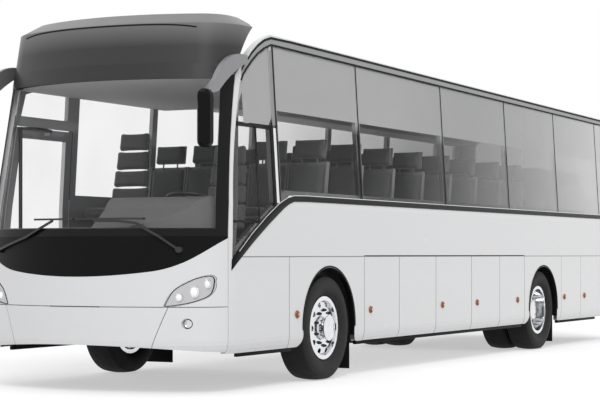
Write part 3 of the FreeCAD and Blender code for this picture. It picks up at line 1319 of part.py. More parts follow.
doc.recompute()
failed = [obj.Label for obj in doc.Objects if "Invalid" in obj.State or "Error" in obj.State]
if failed:
    raise RuntimeError("objects that failed: " + ", ".join(failed))
os.makedirs("parts", exist_ok=True)
for node in NODES:
    if node.Shape.isNull() or not node.Shape.isValid() or not node.Shape.Solids:
        raise RuntimeError("bad shape: " + node.Label)
    print("%-24s solids %3d  litres %9.2f" % (node.Label, len(node.Shape.Solids), node.Shape.Volume / 1e6))
for node in NODES:
    node.Shape.exportStep("parts/%s.step" % node.Label)
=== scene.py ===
import json
import math

import bmesh
import bpy
from bpy.props import FloatProperty, FloatVectorProperty, IntProperty, PointerProperty
from bpy.types import Operator, Panel, PropertyGroup
from mathutils import Matrix, Vector


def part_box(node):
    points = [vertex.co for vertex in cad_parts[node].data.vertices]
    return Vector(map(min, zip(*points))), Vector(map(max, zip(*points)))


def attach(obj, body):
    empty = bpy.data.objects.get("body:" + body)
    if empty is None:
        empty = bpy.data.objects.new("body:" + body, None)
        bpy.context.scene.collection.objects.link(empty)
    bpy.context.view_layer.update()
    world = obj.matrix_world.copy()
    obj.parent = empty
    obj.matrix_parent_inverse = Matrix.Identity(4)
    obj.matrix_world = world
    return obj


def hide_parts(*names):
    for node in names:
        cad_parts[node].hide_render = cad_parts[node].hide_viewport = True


bl_info = {
    "name": "Coach Bus Parts",
    "version": (1, 0, 0),
    "blender": (4, 5, 0),
    "location": "View3D > Sidebar > Coach",
    "description": "Builds the visible pieces of a tall coach round its CAD frame",
    "category": "Object",
}

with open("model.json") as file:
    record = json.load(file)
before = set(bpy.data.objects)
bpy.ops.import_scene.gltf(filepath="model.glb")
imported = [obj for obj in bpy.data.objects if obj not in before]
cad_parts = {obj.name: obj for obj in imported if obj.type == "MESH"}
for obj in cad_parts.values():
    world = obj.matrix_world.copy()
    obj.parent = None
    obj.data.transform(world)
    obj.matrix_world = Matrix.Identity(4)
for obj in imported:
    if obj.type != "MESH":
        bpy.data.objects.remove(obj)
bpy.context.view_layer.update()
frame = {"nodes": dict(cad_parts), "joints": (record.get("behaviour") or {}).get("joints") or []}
NODES = frame["nodes"]


def place_of(joint):
    """Where a joint stands at rest."""
    return Vector(next(j["pos_m"] for j in frame["joints"] if j["name"] == joint))


# Places along the coach are counted rearwards from the front axle, in metres.
FRONT_AXLE = place_of("front_left_roll").y
REAR_AXLE = place_of("rear_left_roll").y
AXLE_HEIGHT = place_of("rear_left_roll").z
SIDES = ((1, "left"), (-1, "right"))
SEAM_HEIGHT = 1.182  # the luggage doors' top edge
SEAM_START = -1.72
SEAM_PLACES = (-0.825, 0.772, 1.616, 2.587, 3.622, 4.514, 5.361, 6.738, 7.527)
ARCHES = ((FRONT_AXLE, 0.546), (REAR_AXLE, 0.519))  # axle and half of the opening
ARCH_RISE = 0.03  # how much further up than out an arch reaches


def arch_circle(half):
    """Radius and centre height of the circle through an arch's two sides and its top."""
    top = half + ARCH_RISE
    radius = (half ** 2 + top ** 2) / (2 * top)
    return radius, AXLE_HEIGHT + top - radius


# ------------------------------------------------------------------ settings


def colour_setting(name, description, default):
    return FloatVectorProperty(name=name, description=description, subtype="COLOR", default=default, min=0, max=1)


def number_setting(name, description, default, **limits):
    return FloatProperty(name=name, description=description, default=default, **limits)


def length_setting(name, description, default):
    return number_setting(name, description, default, min=0, unit="LENGTH")


class CoachStageSettings(PropertyGroup):
    """Camera, floor and lights."""
    camera_place: FloatVectorProperty(name="Camera Place", description="Where the camera stands",
                                      subtype="TRANSLATION", default=(8.677, -18.278, 1.204))
    camera_turn: number_setting("Camera Turn", "How far the view turns from straight back to the right",
                                math.radians(27.56), subtype="ANGLE")
    lens: number_setting("Lens", "Focal length in mm for a 36 mm sensor", 103.74, min=10)
    shift: number_setting("Shift", "Upward shift of the picture", 0.0905)
    floor_colour: colour_setting("Floor Colour", "Colour of the studio floor", (0.6, 0.6, 0.605))
    world_level: number_setting("World Level", "Strength of the soft light all round", 0.62, min=0)
    key_level: number_setting("Key Level", "Strength of the soft sun", 1.3, min=0)


class CoachPaintSettings(PropertyGroup):
    """Colours of the finishes."""
    body: colour_setting("Body Paint", "Gloss paint of the panels", (0.83, 0.835, 0.845))
    lining: colour_setting("Lining", "Inner side of the walls and roof", (0.36, 0.36, 0.37))
    trim: colour_setting("Black Trim", "Black panels, frames and gaskets", (0.006, 0.006, 0.0065))
    chrome: colour_setting("Bright Trim", "Bright strip, rims and rings", (0.82, 0.83, 0.85))
    rail: colour_setting("Rail", "Roof rail over the side glass", (0.34, 0.345, 0.35))
    side_glass: colour_setting("Side Glass", "Tint of the side glass", (0.36, 0.362, 0.365))
    screen_glass: colour_setting("Screen Glass", "Tint of the windscreen", (0.3, 0.31, 0.31))
    amber: colour_setting("Amber Lamps", "Side markers and turn signals", (0.34, 0.085, 0.004))
    fabric: colour_setting("Seat Fabric", "Woven seat cover", (0.075, 0.076, 0.078))
    shell: colour_setting("Seat Shell", "Moulded back shells of the seats", (0.16, 0.161, 0.163))
    tyre: colour_setting("Tyre Rubber", "Side walls and tread", (0.014, 0.014, 0.0145))


class CoachSizeSettings(PropertyGroup):
    """Sizes of the added pieces."""
    seam: length_setting("Panel Seam", "Width of the dark seams in the side panels", 0.009)
    gasket: length_setting("Gasket", "Width of the rubber round the side glass", 0.016)
    trim_rise: length_setting("Trim Rise", "How far trim stands proud of the skin", 0.004)
    nut_circle: length_setting("Nut Circle", "Radius of the circle of wheel nuts", 0.171)
    nuts: IntProperty(name="Wheel Nuts", description="Nuts on each wheel", default=10, min=3)
    swell: number_setting("Seat Swell", "Air pressure that fills the seat pads", 4.0, min=0)


# ----------------------------------------------------------------- materials


def feed(tree, target, value):
    """Link a value to a socket, or set a constant on it."""
    if isinstance(value, Value):
        tree.links.new(value.socket, target)
    else:
        target.default_value = value


def added(tree, kind, **inputs):
    """A new node with some of its inputs set, each named with _ for a space."""
    made = tree.nodes.new("ShaderNode" + kind)
    for name, value in inputs.items():
        feed(tree, made.inputs[name.replace("_", " ")], value)
    return made


def math_node(operation, swapped=False):
    """A method of Value that adds one math node."""
    def method(self, *others):
        made = added(self.tree, "Math")
        made.operation = operation
        values = (self, *others)
        for target, value in zip(made.inputs, values[::-1] if swapped else values):
            feed(self.tree, target, value)
        return Value(self.tree, made.outputs[0])
    return method


class Value:
    """A number in a node tree.  Arithmetic on it adds math nodes."""
    __add__, __sub__, __mul__, __abs__ = map(math_node, ("ADD", "SUBTRACT", "MULTIPLY", "ABSOLUTE"))
    larger, smaller, root, sine, sign = map(math_node, ("MAXIMUM", "MINIMUM", "SQRT", "SINE", "SIGN"))
    __rsub__ = math_node("SUBTRACT", swapped=True)

    def __init__(self, tree, socket):
        self.tree, self.socket = tree, socket

    def ranged(self, **limits):
        """This value mapped from one range to another, 0 to 1 where a limit isn't given."""
        return Value(self.tree, added(self.tree, "MapRange", Value=self, **limits).outputs[0])

    def over(self, level, soft=0.0015):
        """1 where this is over a level, with a soft edge."""
        return (self - level).ranged(From_Min=-soft, From_Max=soft)

    def under(self, level, soft=0.0015):
        """1 where this is under a level, with a soft edge."""
        return (level - self).ranged(From_Min=-soft, From_Max=soft)


class Finish:
    """A material under construction: its node tree, its shader and the helpers that wire them."""

    def __init__(self, name, colour, roughness=0.4, metallic=0.0, **sockets):
        self.material = bpy.data.materials.new(name)
        self.material.use_nodes = True
        self.tree = self.material.node_tree
        self.shader = self.tree.nodes["Principled BSDF"]
        self.set(Base_Color=(*colour, 1), Roughness=roughness, Metallic=metallic, **sockets)
        self.places = added(self.tree, "TexCoord").outputs
        self.parts = {}

    def set(self, **sockets):
        for name, value in sockets.items():
            feed(self.tree, self.shader.inputs[name.replace("_", " ")], value)

    def axis(self, letter, kind="Object"):
        """One of the object coordinates, or one part of the surface's Normal."""
        if kind not in self.parts:
            split = added(self.tree, "SeparateXYZ")
            self.tree.links.new(self.places[kind], split.inputs[0])
            self.parts[kind] = split.outputs
        return Value(self.tree, self.parts[kind]["XYZ".index(letter)])

    def noise(self, scale, detail=3.0, kind="Noise", stretch=None, **values):
        """A procedural pattern on the object coordinates."""
        texture = added(self.tree, "Tex" + kind, Scale=scale)
        for name, value in values.items():
            setattr(texture, name, value)
        if "Detail" in texture.inputs:
            texture.inputs["Detail"].default_value = detail
        source = self.places["Object"]
        if stretch:
            mapping = added(self.tree, "Mapping", Scale=stretch)
            self.tree.links.new(source, mapping.inputs["Vector"])
            source = mapping.outputs[0]
        self.tree.links.new(source, texture.inputs["Vector"])
        return Value(self.tree, texture.outputs[0])

    def paint(self, mask, colour):
        """Lay a colour over what is there where mask is 1."""
        base = self.shader.inputs["Base Color"]
        mix = added(self.tree, "Mix")
        mix.data_type = "RGBA"
        feed(self.tree, mix.inputs["Factor"], mask)
        feed(self.tree, mix.inputs["A"], Value(self.tree, base.links[0].from_socket) if base.links
             else base.default_value)
        mix.inputs["B"].default_value = (*colour, 1)
        self.tree.links.new(mix.outputs["Result"], base)

    def bump(self, height, strength, distance=0.001):
        """Relief on top of the relief that is there."""
        made = added(self.tree, "Bump", Strength=strength, Distance=distance, Height=height)
        normal = self.shader.inputs["Normal"]
        if normal.links:
            self.tree.links.new(normal.links[0].from_socket, made.inputs["Normal"])
        self.tree.links.new(made.outputs[0], normal)

    def grain(self, scale, detail, strength, distance=0.001):
        """Fine irregular relief."""
        self.bump(self.noise(scale, detail), strength, distance)

    def wear(self, scale, detail, low, high):
        """A roughness that wanders between two values."""
        self.set(Roughness=self.noise(scale, detail).ranged(To_Min=low, To_Max=high))

    def stain(self, scale, detail, share, colour):
        """Clouds of a colour, at most share strong."""
        self.paint(self.noise(scale, detail) * share, colour)


def scaled(colour, share):
    return tuple(part * share for part in colour)


def seam_lines(finish, size):
    """Dark seams of the fixed side panels, level with the luggage doors' top edge."""
    along = finish.axis("Y") - FRONT_AXLE
    height = finish.axis("Z")

    def line(value, level):
        return value.over(level - size / 2) * value.under(level + size / 2)

    lines = line(height, SEAM_HEIGHT)
    for place in SEAM_PLACES:
        lines = lines.larger(line(along, place) * height.under(SEAM_HEIGHT))
    lines = lines * along.over(SEAM_START)
    finish.paint(lines * 0.85, (0.05, 0.05, 0.05))
    finish.bump(1 - lines, 0.5, 0.004)


def behind_glass(finish):
    """1 on the wall's posts and rails that stand behind the side glass.

    The curves follow the glass's edges: the front pillar, the sloping and then level sill, and the top, which falls
    evenly to the rear and bends down at the front.
    """
    along = finish.axis("Y") - FRONT_AXLE
    height = finish.axis("Z")
    rise = (height - 1.07).larger(0)
    pillar = rise * rise * 0.0916 - 1.857
    waist = (along * 0.66 + 2.379).smaller(along * 0.469 + 2.121).smaller(1.742)
    front = (-1.011 - along).larger(0)
    top = 3.09 - along * 0.0095 - (front * front * 0.7427 + front * 0.2102)
    return along.over(pillar) * height.over(waist) * top.over(height) * along.under(7.75)


def arch_edges(finish):
    """1 on the lips and the cut edges of the wheel arches."""
    height = finish.axis("Z")
    edge = abs(finish.axis("X", "Normal")).under(0.4, 0.02) * height.under(1.15)
    masks = []
    for axle, half in ARCHES:
        radius, centre = arch_circle(half)
        along, up = finish.axis("Y") - axle, height - centre
        lip = (along * along + up * up).root().under(radius + 0.004)
        masks.append(lip.larger(edge * abs(along).under(half + 0.13)))
    return masks[0].larger(masks[1])


def body_paint(name, colour, inner, sides=False, seams=False):
    """Gloss paint with a faint peel and road dust low down, and grey lining on the faces that look inwards."""
    finish = Finish(name, colour, 0.25, Coat_Weight=0.6, Coat_Roughness=0.04)
    finish.grain(240, 1, 0.02)
    finish.paint(finish.noise(7, 6) * finish.axis("Z").under(0.62, 0.3) * 0.12, (0.5, 0.49, 0.47))
    finish.wear(3, 4, 0.2, 0.3)
    if seams:
        seam_lines(finish, bpy.context.scene.coach_sizes.seam)
    if sides:
        finish.paint(arch_edges(finish), (0.006, 0.006, 0.006))
        posts = behind_glass(finish)
        finish.paint(posts, (0.014, 0.014, 0.015))
        finish.paint(posts * finish.axis("Z").over(2.44, 0.05), (0.46, 0.46, 0.465))
    inward = finish.axis(inner[-1], "Normal") * (1 if inner[0] == "-" else -1)
    if inner == "X":
        inward = inward * finish.axis("X").sign()
    finish.paint(inward.over(0.3, 0.05), bpy.context.scene.coach_paint.lining)
    return finish.material


def gloss_black(name, colour):
    """Black glass and gloss plastic."""
    finish = Finish(name, colour, 0.25, Specular_IOR_Level=0.08)
    finish.grain(180, 1, 0.015)
    finish.wear(5, 5, 0.2, 0.36)
    finish.stain(60, 6, 0.2, (0.012, 0.012, 0.012))
    return finish.material


def visor_paint(name, colour):
    """Dark metallic paint with fine flakes, and a painted highlight where it turns up to the sky."""
    finish = Finish(name, colour, 0.4, Specular_IOR_Level=0.35)
    finish.paint(finish.noise(900, kind="Voronoi").over(0.62, 0.05) * 0.15, (0.08, 0.08, 0.082))
    # painted highlight: the visor is painted lighter towards its top, where the sky lights it
    finish.paint(finish.axis("Z").over(3.14, 0.12), (0.2, 0.2, 0.202))
    finish.grain(240, 1, 0.02)
    finish.wear(4, 4, 0.3, 0.42)
    return finish.material


def glass(name, colour, alpha, screen=False):
    """Tinted glass with a trace of smears.  The windscreen has a black border; the rest carries a painted reflection
    that makes it lighter and denser to the rear.
    """
    finish = Finish(name, colour, 0.03, IOR=1.5, Specular_IOR_Level=0.15)
    finish.wear(2.5, 5, 0.015, 0.06)
    finish.grain(1.2, 2, 0.03, 0.002)
    clear = finish.noise(1.8, 3).ranged(To_Min=alpha - 0.02, To_Max=alpha + 0.03)
    if screen:
        height = finish.axis("Z")
        sides = abs(finish.axis("X")).over(1.262 - height * 0.055, 0.003)
        border = sides.larger(height.under(1.43, 0.003)).larger(height.over(2.79, 0.004))
        finish.paint(border, (0.008, 0.008, 0.008))
        clear = clear.larger(border)
    else:
        # painted reflection: towards the rear the side glass is painted lighter and made less clear
        back = finish.axis("Y").over(FRONT_AXLE + 5.2, 3.4)
        clear = clear + back * 0.6
        finish.paint(back, tuple(min(1, part) for part in scaled(colour, 2.9)))
    finish.set(Alpha=clear)
    return finish.material


def satin_metal(name, colour, roughness=0.5, metallic=0.0, grime=0.4):
    """Chassis paint or sheet with cast grain and grime."""
    finish = Finish(name, colour, roughness, metallic)
    finish.grain(90, 5, 0.12)
    finish.stain(4, 8, grime, (0.03, 0.026, 0.02))
    finish.wear(12, 5, roughness - 0.1, roughness + 0.15)
    return finish.material


def rolled_sheet(name, colour):
    """Bare alloy with long rolling marks."""
    finish = Finish(name, colour, 0.35, 0.9)
    marks = finish.noise(30, 6, stretch=(1, 0.04, 8))
    finish.set(Roughness=marks.ranged(To_Min=0.25, To_Max=0.5))
    finish.bump(marks, 0.06)
    finish.stain(6, 5, 0.15, (0.35, 0.34, 0.33))
    return finish.material


def vinyl_floor(name, colour):
    """Flecked sheet floor."""
    finish = Finish(name, colour, 0.6)
    finish.paint(finish.noise(420, kind="Voronoi").over(0.6, 0.03) * 0.5, (0.3, 0.3, 0.32))
    finish.stain(3, 5, 0.2, (0.04, 0.04, 0.04))
    finish.grain(300, 2, 0.15)
    return finish.material


def grained_plastic(name, colour, roughness=0.55):
    """Moulded plastic with a leather-like grain."""
    finish = Finish(name, colour, roughness)
    finish.bump(finish.noise(260, kind="Voronoi", feature="DISTANCE_TO_EDGE"), 0.18, 0.0006)
    finish.grain(70, 4, 0.04)
    finish.wear(9, 4, roughness - 0.08, roughness + 0.1)
    finish.stain(5, 4, 0.18, scaled(colour, 1.35))
    return finish.material


def woven_fabric(name, colour, second):
    """Plain weave of two yarns with a fine nap."""
    finish = Finish(name, colour, 0.85, Sheen_Weight=0.25, Sheen_Roughness=0.5)
    yarns = []
    for letter in "XZ":
        wave = added(finish.tree, "TexWave", Scale=90, Distortion=0.6)
        wave.bands_direction = letter
        finish.tree.links.new(finish.places["Object"], wave.inputs["Vector"])
        yarns.append(Value(finish.tree, wave.outputs[1]))
    finish.bump(yarns[0].larger(yarns[1]), 0.25, 0.0008)
    finish.grain(700, 2, 0.12, 0.0005)
    finish.paint(finish.noise(34, 2).over(0.56, 0.05) * 0.3, second)
    finish.stain(2.4, 3, 0.25, scaled(colour, 0.6))
    return finish.material


def polished_rim(name, colour):
    """Polished alloy with fine turning marks and brake dust."""
    finish = Finish(name, colour, 0.12, 1.0, Anisotropic=0.4)
    finish.wear(16, 6, 0.07, 0.2)
    finish.grain(500, 2, 0.02, 0.0004)
    finish.stain(9, 7, 0.12, (0.2, 0.18, 0.16))
    return finish.material


def tyre_rubber(name, colour, axle):
    """Rubber with scuffs, and fine ridges and a painted highlight that run round the wheel's own axle."""
    finish = Finish(name, colour, 0.72, Specular_IOR_Level=0.25)
    along, up = finish.axis("Y") - axle, finish.axis("Z") - AXLE_HEIGHT
    radius = (along * along + up * up).root()
    finish.bump((radius * 900).sine() * (radius.over(0.34, 0.01) * radius.under(0.43, 0.01)), 0.05)
    finish.grain(160, 4, 0.15)
    finish.wear(14, 5, 0.6, 0.85)
    # painted highlight: a lighter ring on the side wall, where the light catches it
    finish.paint(radius.over(0.33, 0.03) * radius.under(0.47, 0.03) * 0.35, (0.05, 0.05, 0.05))
    finish.stain(11, 6, 0.3, (0.035, 0.033, 0.03))
    return finish.material


def soft_rubber(name, colour):
    """Matt rubber of seals and flaps."""
    finish = Finish(name, colour, 0.55, Specular_IOR_Level=0.08)
    finish.grain(220, 3, 0.1)
    finish.wear(20, 4, 0.45, 0.7)
    finish.stain(8, 5, 0.3, (0.03, 0.03, 0.03))
    return finish.material


def lens(name, colour, ribs, glow=0.0):
    """Moulded lamp plastic with prism ribs behind a smooth face."""
    finish = Finish(name, colour, 0.08, IOR=1.49, Coat_Weight=0.12, Coat_Roughness=0.03)
    ribbing = finish.noise(ribs, kind="Voronoi", feature="F1", distance="CHEBYCHEV")
    finish.bump(ribbing, 0.35, 0.002)
    finish.paint(ribbing * 0.5, scaled(colour, 0.55))
    finish.grain(30, 3, 0.02)
    finish.wear(12, 3, 0.05, 0.14)
    finish.set(Emission_Color=(1, 1, 1, 1), Emission_Strength=glow)
    return finish.material


def cast_metal(name, colour):
    """Rough castings under a film of oil."""
    finish = Finish(name, colour, 0.6, 0.5)
    finish.grain(60, 6, 0.3, 0.002)
    finish.stain(5, 7, 0.6, (0.05, 0.045, 0.04))
    finish.wear(10, 5, 0.45, 0.8)
    return finish.material


# maker, name, colour or the name of a paint setting, and the maker's other values
FINISHES = (
    (body_paint, "wall_paint", "body", "X", True, True),
    (body_paint, "panel_paint", "body", "X", False, True),
    (body_paint, "front_paint", "body", "-Y"),
    (body_paint, "roof_paint", "body", "Z"),
    (body_paint, "rear_paint", "body", "Y"),
    (visor_paint, "visor_paint", (0.03, 0.03, 0.031)),
    (gloss_black, "gloss_black", "trim"),
    (glass, "side_glass", "side_glass", 0.04),
    (glass, "screen_glass", "screen_glass", 0.03, True),
    (satin_metal, "chassis_black", (0.016, 0.016, 0.016)),
    (rolled_sheet, "bay_alloy", (0.5, 0.5, 0.51)),
    (vinyl_floor, "vinyl_floor", (0.12, 0.12, 0.125)),
    (grained_plastic, "rack_lining", (0.48, 0.48, 0.485), 0.6),
    # painted light: the parcel racks get a lining much lighter than the rest, to offset the cabin's shade on them
    (grained_plastic, "rack_paint", (0.8, 0.8, 0.8), 0.6),
    (grained_plastic, "post_lining", (0.31, 0.31, 0.315), 0.55),
    (grained_plastic, "ceiling_lining", (0.68, 0.68, 0.685), 0.7),
    (grained_plastic, "dash_plastic", (0.12, 0.12, 0.122), 0.6),
    (grained_plastic, "black_plastic", (0.014, 0.014, 0.015), 0.38),
    (grained_plastic, "seat_shell", "shell", 0.5),
    (woven_fabric, "seat_fabric", "fabric", (0.13, 0.13, 0.14)),
    (woven_fabric, "driver_fabric", (0.15, 0.15, 0.153), (0.2, 0.2, 0.205)),
    (satin_metal, "arm_paint", (0.3, 0.3, 0.31), 0.35, 0.4, 0.1),
    (satin_metal, "nut_steel", (0.05, 0.05, 0.05), 0.4, 0.8, 0.2),
    (satin_metal, "rail_grey", "rail", 0.35, 0.2, 0.05),
    (satin_metal, "white_plate", (0.75, 0.75, 0.75), 0.4, 0.0, 0.05),
    (satin_metal, "lamp_housing", (0.6, 0.6, 0.61), 0.3, 0.5, 0.05),
    (polished_rim, "rim_alloy", "chrome"),
    (polished_rim, "bright_trim", "chrome"),
    (polished_rim, "mirror_glass", (0.9, 0.9, 0.9)),
    (polished_rim, "lamp_bowl", (0.75, 0.75, 0.76)),
    (tyre_rubber, "front_tyre", "tyre", FRONT_AXLE),
    (tyre_rubber, "rear_tyre", "tyre", REAR_AXLE),
    (soft_rubber, "black_rubber", (0.01, 0.01, 0.01)),
    (lens, "lamp_glow", (0.95, 0.95, 0.95), 60, 0.35),
    (lens, "red_lens", (0.35, 0.012, 0.01), 55),
    (lens, "amber_lens", "amber", 70),
    (cast_metal, "engine_iron", (0.16, 0.16, 0.165)),
)
# the CAD parts that wear each finish; doors, tyres and rims are told by their names
WEARERS = {
    "wall_paint": "left_side_wall right_side_wall", "panel_paint": "entry_door",
    "front_paint": "front_mask bumpers", "roof_paint": "roof roof_air_conditioner",
    "rear_paint": "rear_wall engine_lid", "visor_paint": "front_visor", "gloss_black": "wiper_panel mirror_heads",
    "side_glass": "side_windows rear_window entry_door_glass", "screen_glass": "windscreen",
    "chassis_black": "frame_rails underframe tow_bracket wheelhouses front_axle rear_axle seat_legs "
                     "entry_door_arm left_knuckle right_knuckle",
    "bay_alloy": "luggage_bays", "vinyl_floor": "cabin_floor entry_steps", "rack_paint": "parcel_racks",
    "dash_plastic": "dashboard", "black_plastic": "steering_wheel wipers",
    "seat_fabric": "passenger_seats crew_seats", "arm_paint": "mirror_arms", "lamp_housing": "headlamps",
    "black_rubber": "mud_flaps", "red_lens": "tail_lamps", "engine_iron": "engine",
}
# what the steps hand on: the finishes by name, and the merged skin
MATERIALS = {}
SKIN = {}


# ------------------------------------------------------------ modelling tools

SMOOTH_ANGLE = math.radians(35)
SKIN_NODES = (
    "left_side_wall", "right_side_wall", "side_windows", "front_mask", "wiper_panel", "bumpers", "windscreen",
    "headlamps", "rear_wall", "rear_window", "engine_lid", "entry_door", "entry_door_glass", "front_visor", "roof",
) + tuple(node for node in NODES if "luggage_door" in node)
# where rays and strips start outside the coach
BESIDE, BEFORE, FAR_BEFORE, BEHIND = 1.6, -7.0, -8.0, 12.0


def deselect():
    if bpy.context.object and bpy.context.object.mode != "OBJECT":
        bpy.ops.object.mode_set(mode="OBJECT")
    bpy.ops.object.select_all(action="DESELECT")


def work_on(*pieces):
    """Select pieces only, the first of them active."""
    deselect()
    for piece in pieces:
        piece.select_set(True)
    bpy.context.view_layer.objects.active = pieces[0]


def started(name):
    piece = bpy.context.object
    piece.name = piece.data.name = name
    return piece


def edit(piece, mode="VERT"):
    """Edit a piece with all of it selected."""
    work_on(piece)
    bpy.ops.object.mode_set(mode="EDIT")
    bpy.ops.mesh.select_mode(type=mode)
    bpy.ops.mesh.select_all(action="SELECT")


def done():
    bpy.ops.object.mode_set(mode="OBJECT")


def choose(piece, kind, test):
    """Select, in edit mode, only the points or edges that pass the test."""
    bpy.ops.mesh.select_all(action="DESELECT")
    mesh = bmesh.from_edit_mesh(piece.data)
    for part in getattr(mesh, kind):
        part.select = bool(test(part))
    mesh.select_flush_mode()
    bmesh.update_edit_mesh(piece.data)


def block(name, low, high, bevel, segments=2):
    """A box between two corners with its edges rounded."""
    deselect()
    low, high = Vector(low), Vector(high)
    bpy.ops.mesh.primitive_cube_add(size=1, location=(low + high) / 2, scale=high - low)
    piece = started(name)
    bpy.ops.object.transform_apply()
    edit(piece)
    bpy.ops.mesh.bevel(offset=bevel, segments=segments, affect="EDGES", profile=0.5)
    done()
    return piece


def disc(name, centre, radius, depth, axis, corners, bevel=0.0):
    """A round plate or rod centred on a point, its rims rounded."""
    deselect()
    turn = Vector((0, 0, 1)).rotation_difference(Vector(axis)).to_euler()
    bpy.ops.mesh.primitive_cylinder_add(vertices=corners, radius=radius, depth=depth, location=centre, rotation=turn)
    piece = started(name)
    bpy.ops.object.transform_apply()
    if bevel:
        edit(piece, "EDGE")
        way = Vector(axis).normalized()
        choose(piece, "edges", lambda edge: abs((edge.verts[1].co - edge.verts[0].co).normalized().dot(way)) < 0.5)
        bpy.ops.mesh.bevel(offset=bevel, segments=2, affect="EDGES")
        done()
    return piece


def outline_of(name, points):
    """An open chain of edges through points, grown from one corner by extruding."""
    deselect()
    bpy.ops.mesh.primitive_circle_add(vertices=3, radius=0.01, location=points[0])
    piece = started(name)
    bpy.ops.object.transform_apply()
    edit(piece)
    mesh = bmesh.from_edit_mesh(piece.data)
    mesh.verts.ensure_lookup_table()
    start = mesh.verts[0].co.copy()
    choose(piece, "verts", lambda vert: (vert.co - start).length > 0.001)
    bpy.ops.mesh.delete(type="VERT")
    bpy.ops.mesh.select_all(action="SELECT")
    bpy.ops.transform.translate(value=Vector(points[0]) - start)
    for before, after in zip(points, points[1:]):
        bpy.ops.mesh.extrude_vertices_move(TRANSFORM_OT_translate={"value": Vector(after) - Vector(before)})
    return piece


def lathe(name, profile, centre, axis, steps):
    """A closed or open shape spun about an axis.  Profile points are (along the axis, radius)."""
    axis = Vector(axis).normalized()
    out = axis.orthogonal().normalized()
    centre = Vector(centre)
    piece = outline_of(name, [centre + axis * along + out * radius for along, radius in profile])
    bpy.ops.mesh.select_all(action="SELECT")
    bpy.ops.mesh.spin(steps=steps, angle=math.tau, center=centre, axis=axis)
    bpy.ops.mesh.select_all(action="SELECT")
    bpy.ops.mesh.remove_doubles(threshold=0.00005)
    bpy.ops.mesh.normals_make_consistent(inside=False)
    done()
    return piece


def ring(centre, axis, steps, inner, outer, low, high, slope=0.0):
    """A lathed ring with a flat top; slope is how much its foot spreads."""
    return lathe("ring", [(low, inner - slope), (high, inner), (high, outer), (low, outer + slope)],
                 centre, axis, steps)


def strip(name, pairs):
    """An open band of faces through pairs of points, grown pair by pair."""
    deselect()
    bpy.ops.mesh.primitive_plane_add(size=1, location=(0, 0, 0))
    piece = started(name)
    edit(piece)

    def only(*numbers):
        mesh = bmesh.from_edit_mesh(piece.data)
        mesh.verts.ensure_lookup_table()
        bpy.ops.mesh.select_all(action="DESELECT")
        for number in numbers:
            mesh.verts[number].select = True
        mesh.select_flush_mode()
        bmesh.update_edit_mesh(piece.data)
        return mesh

    for number, spot in enumerate((*pairs[0], *pairs[1])):
        mesh = only(number)
        bpy.ops.transform.translate(value=Vector(spot) - mesh.verts[number].co)
    ends = (2, 3)
    for before, after in zip(pairs[1:], pairs[2:]):
        only(*ends)
        first = Vector(after[0]) - Vector(before[0])
        second = Vector(after[1]) - Vector(before[1])
        bpy.ops.mesh.extrude_region_move(TRANSFORM_OT_translate={"value": first})
        mesh = bmesh.from_edit_mesh(piece.data)
        mesh.verts.ensure_lookup_table()
        goal = Vector(before[1]) + first
        ends = sorted((vert.index for vert in mesh.verts if vert.select),
                      key=lambda index: (mesh.verts[index].co - goal).length, reverse=True)
        if (second - first).length > 0.00001:
            only(ends[1])
            bpy.ops.transform.translate(value=second - first)
    done()
    return piece


def modify(piece, kind, **values):
    """Add a modifier and apply it."""
    work_on(piece)
    modifier = piece.modifiers.new(kind.title(), kind)
    for name, value in values.items():
        setattr(modifier, name, value)
    bpy.ops.object.modifier_apply(modifier=modifier.name)
    return piece


def touch(start, way, piece=None):
    """Where a ray from outside first meets the skin, or a piece."""
    hit, place, _, _ = (piece or SKIN["piece"]).ray_cast(Vector(start), Vector(way))
    if not hit:
        raise RuntimeError("nothing at %s" % (start,))
    return place


def lay(piece, letter, side, rise, sink=0.001, target=None):
    """Press a band on the skin along one axis, turn its face outwards and give it a thickness."""
    modify(piece, "SHRINKWRAP", target=target or SKIN["piece"], wrap_method="PROJECT", project_limit=0,
           use_project_x=letter == "X", use_project_y=letter == "Y", use_project_z=letter == "Z",
           use_negative_direction=side > 0, use_positive_direction=side < 0)
    index = "XYZ".index(letter)
    if sum(face.normal[index] for face in piece.data.polygons) * side < 0:
        edit(piece, "FACE")
        bpy.ops.mesh.flip_normals()
        done()
    thickness = rise + sink
    return modify(piece, "SOLIDIFY", thickness=thickness, offset=(rise - sink) / thickness, use_even_offset=False)


def side_strip(name, pairs, side, rise, sink=0.001):
    """A strip through pairs of (place behind the front axle, height), laid on one wall."""
    pairs = [tuple((side * BESIDE, FRONT_AXLE + place, height) for place, height in pair) for pair in pairs]
    return lay(strip(name, pairs), "X", side, rise, sink)


def end_strip(name, pairs, start, rise, target=None):
    """A strip through pairs of (across, height), laid on the front or the rear from a start outside it."""
    pairs = [tuple((across, start, height) for across, height in pair) for pair in pairs]
    return lay(strip(name, pairs), "Y", math.copysign(1, start), rise, target=target)


def uprights(places, low, high):
    """Pairs of (place, height) between two heights."""
    return [((place, low), (place, high)) for place in places]


def curve_through(points, count):
    """A smooth line through (place, height) points, count short legs between each two."""
    line = []
    for index in range(len(points) - 1):
        first, near, next_one, last = [Vector(points[min(max(index + shift, 0), len(points) - 1)])
                                       for shift in (-1, 0, 1, 2)]
        slope_in, slope_out = (next_one - first) / 2, (last - near) / 2
        for part in range(count):
            share = part / count
            line.append(near * (2 * share ** 3 - 3 * share ** 2 + 1)
                        + slope_in * (share ** 3 - 2 * share ** 2 + share)
                        + next_one * (3 * share ** 2 - 2 * share ** 3) + slope_out * (share ** 3 - share ** 2))
    return [tuple(spot) for spot in line] + [tuple(points[-1])]


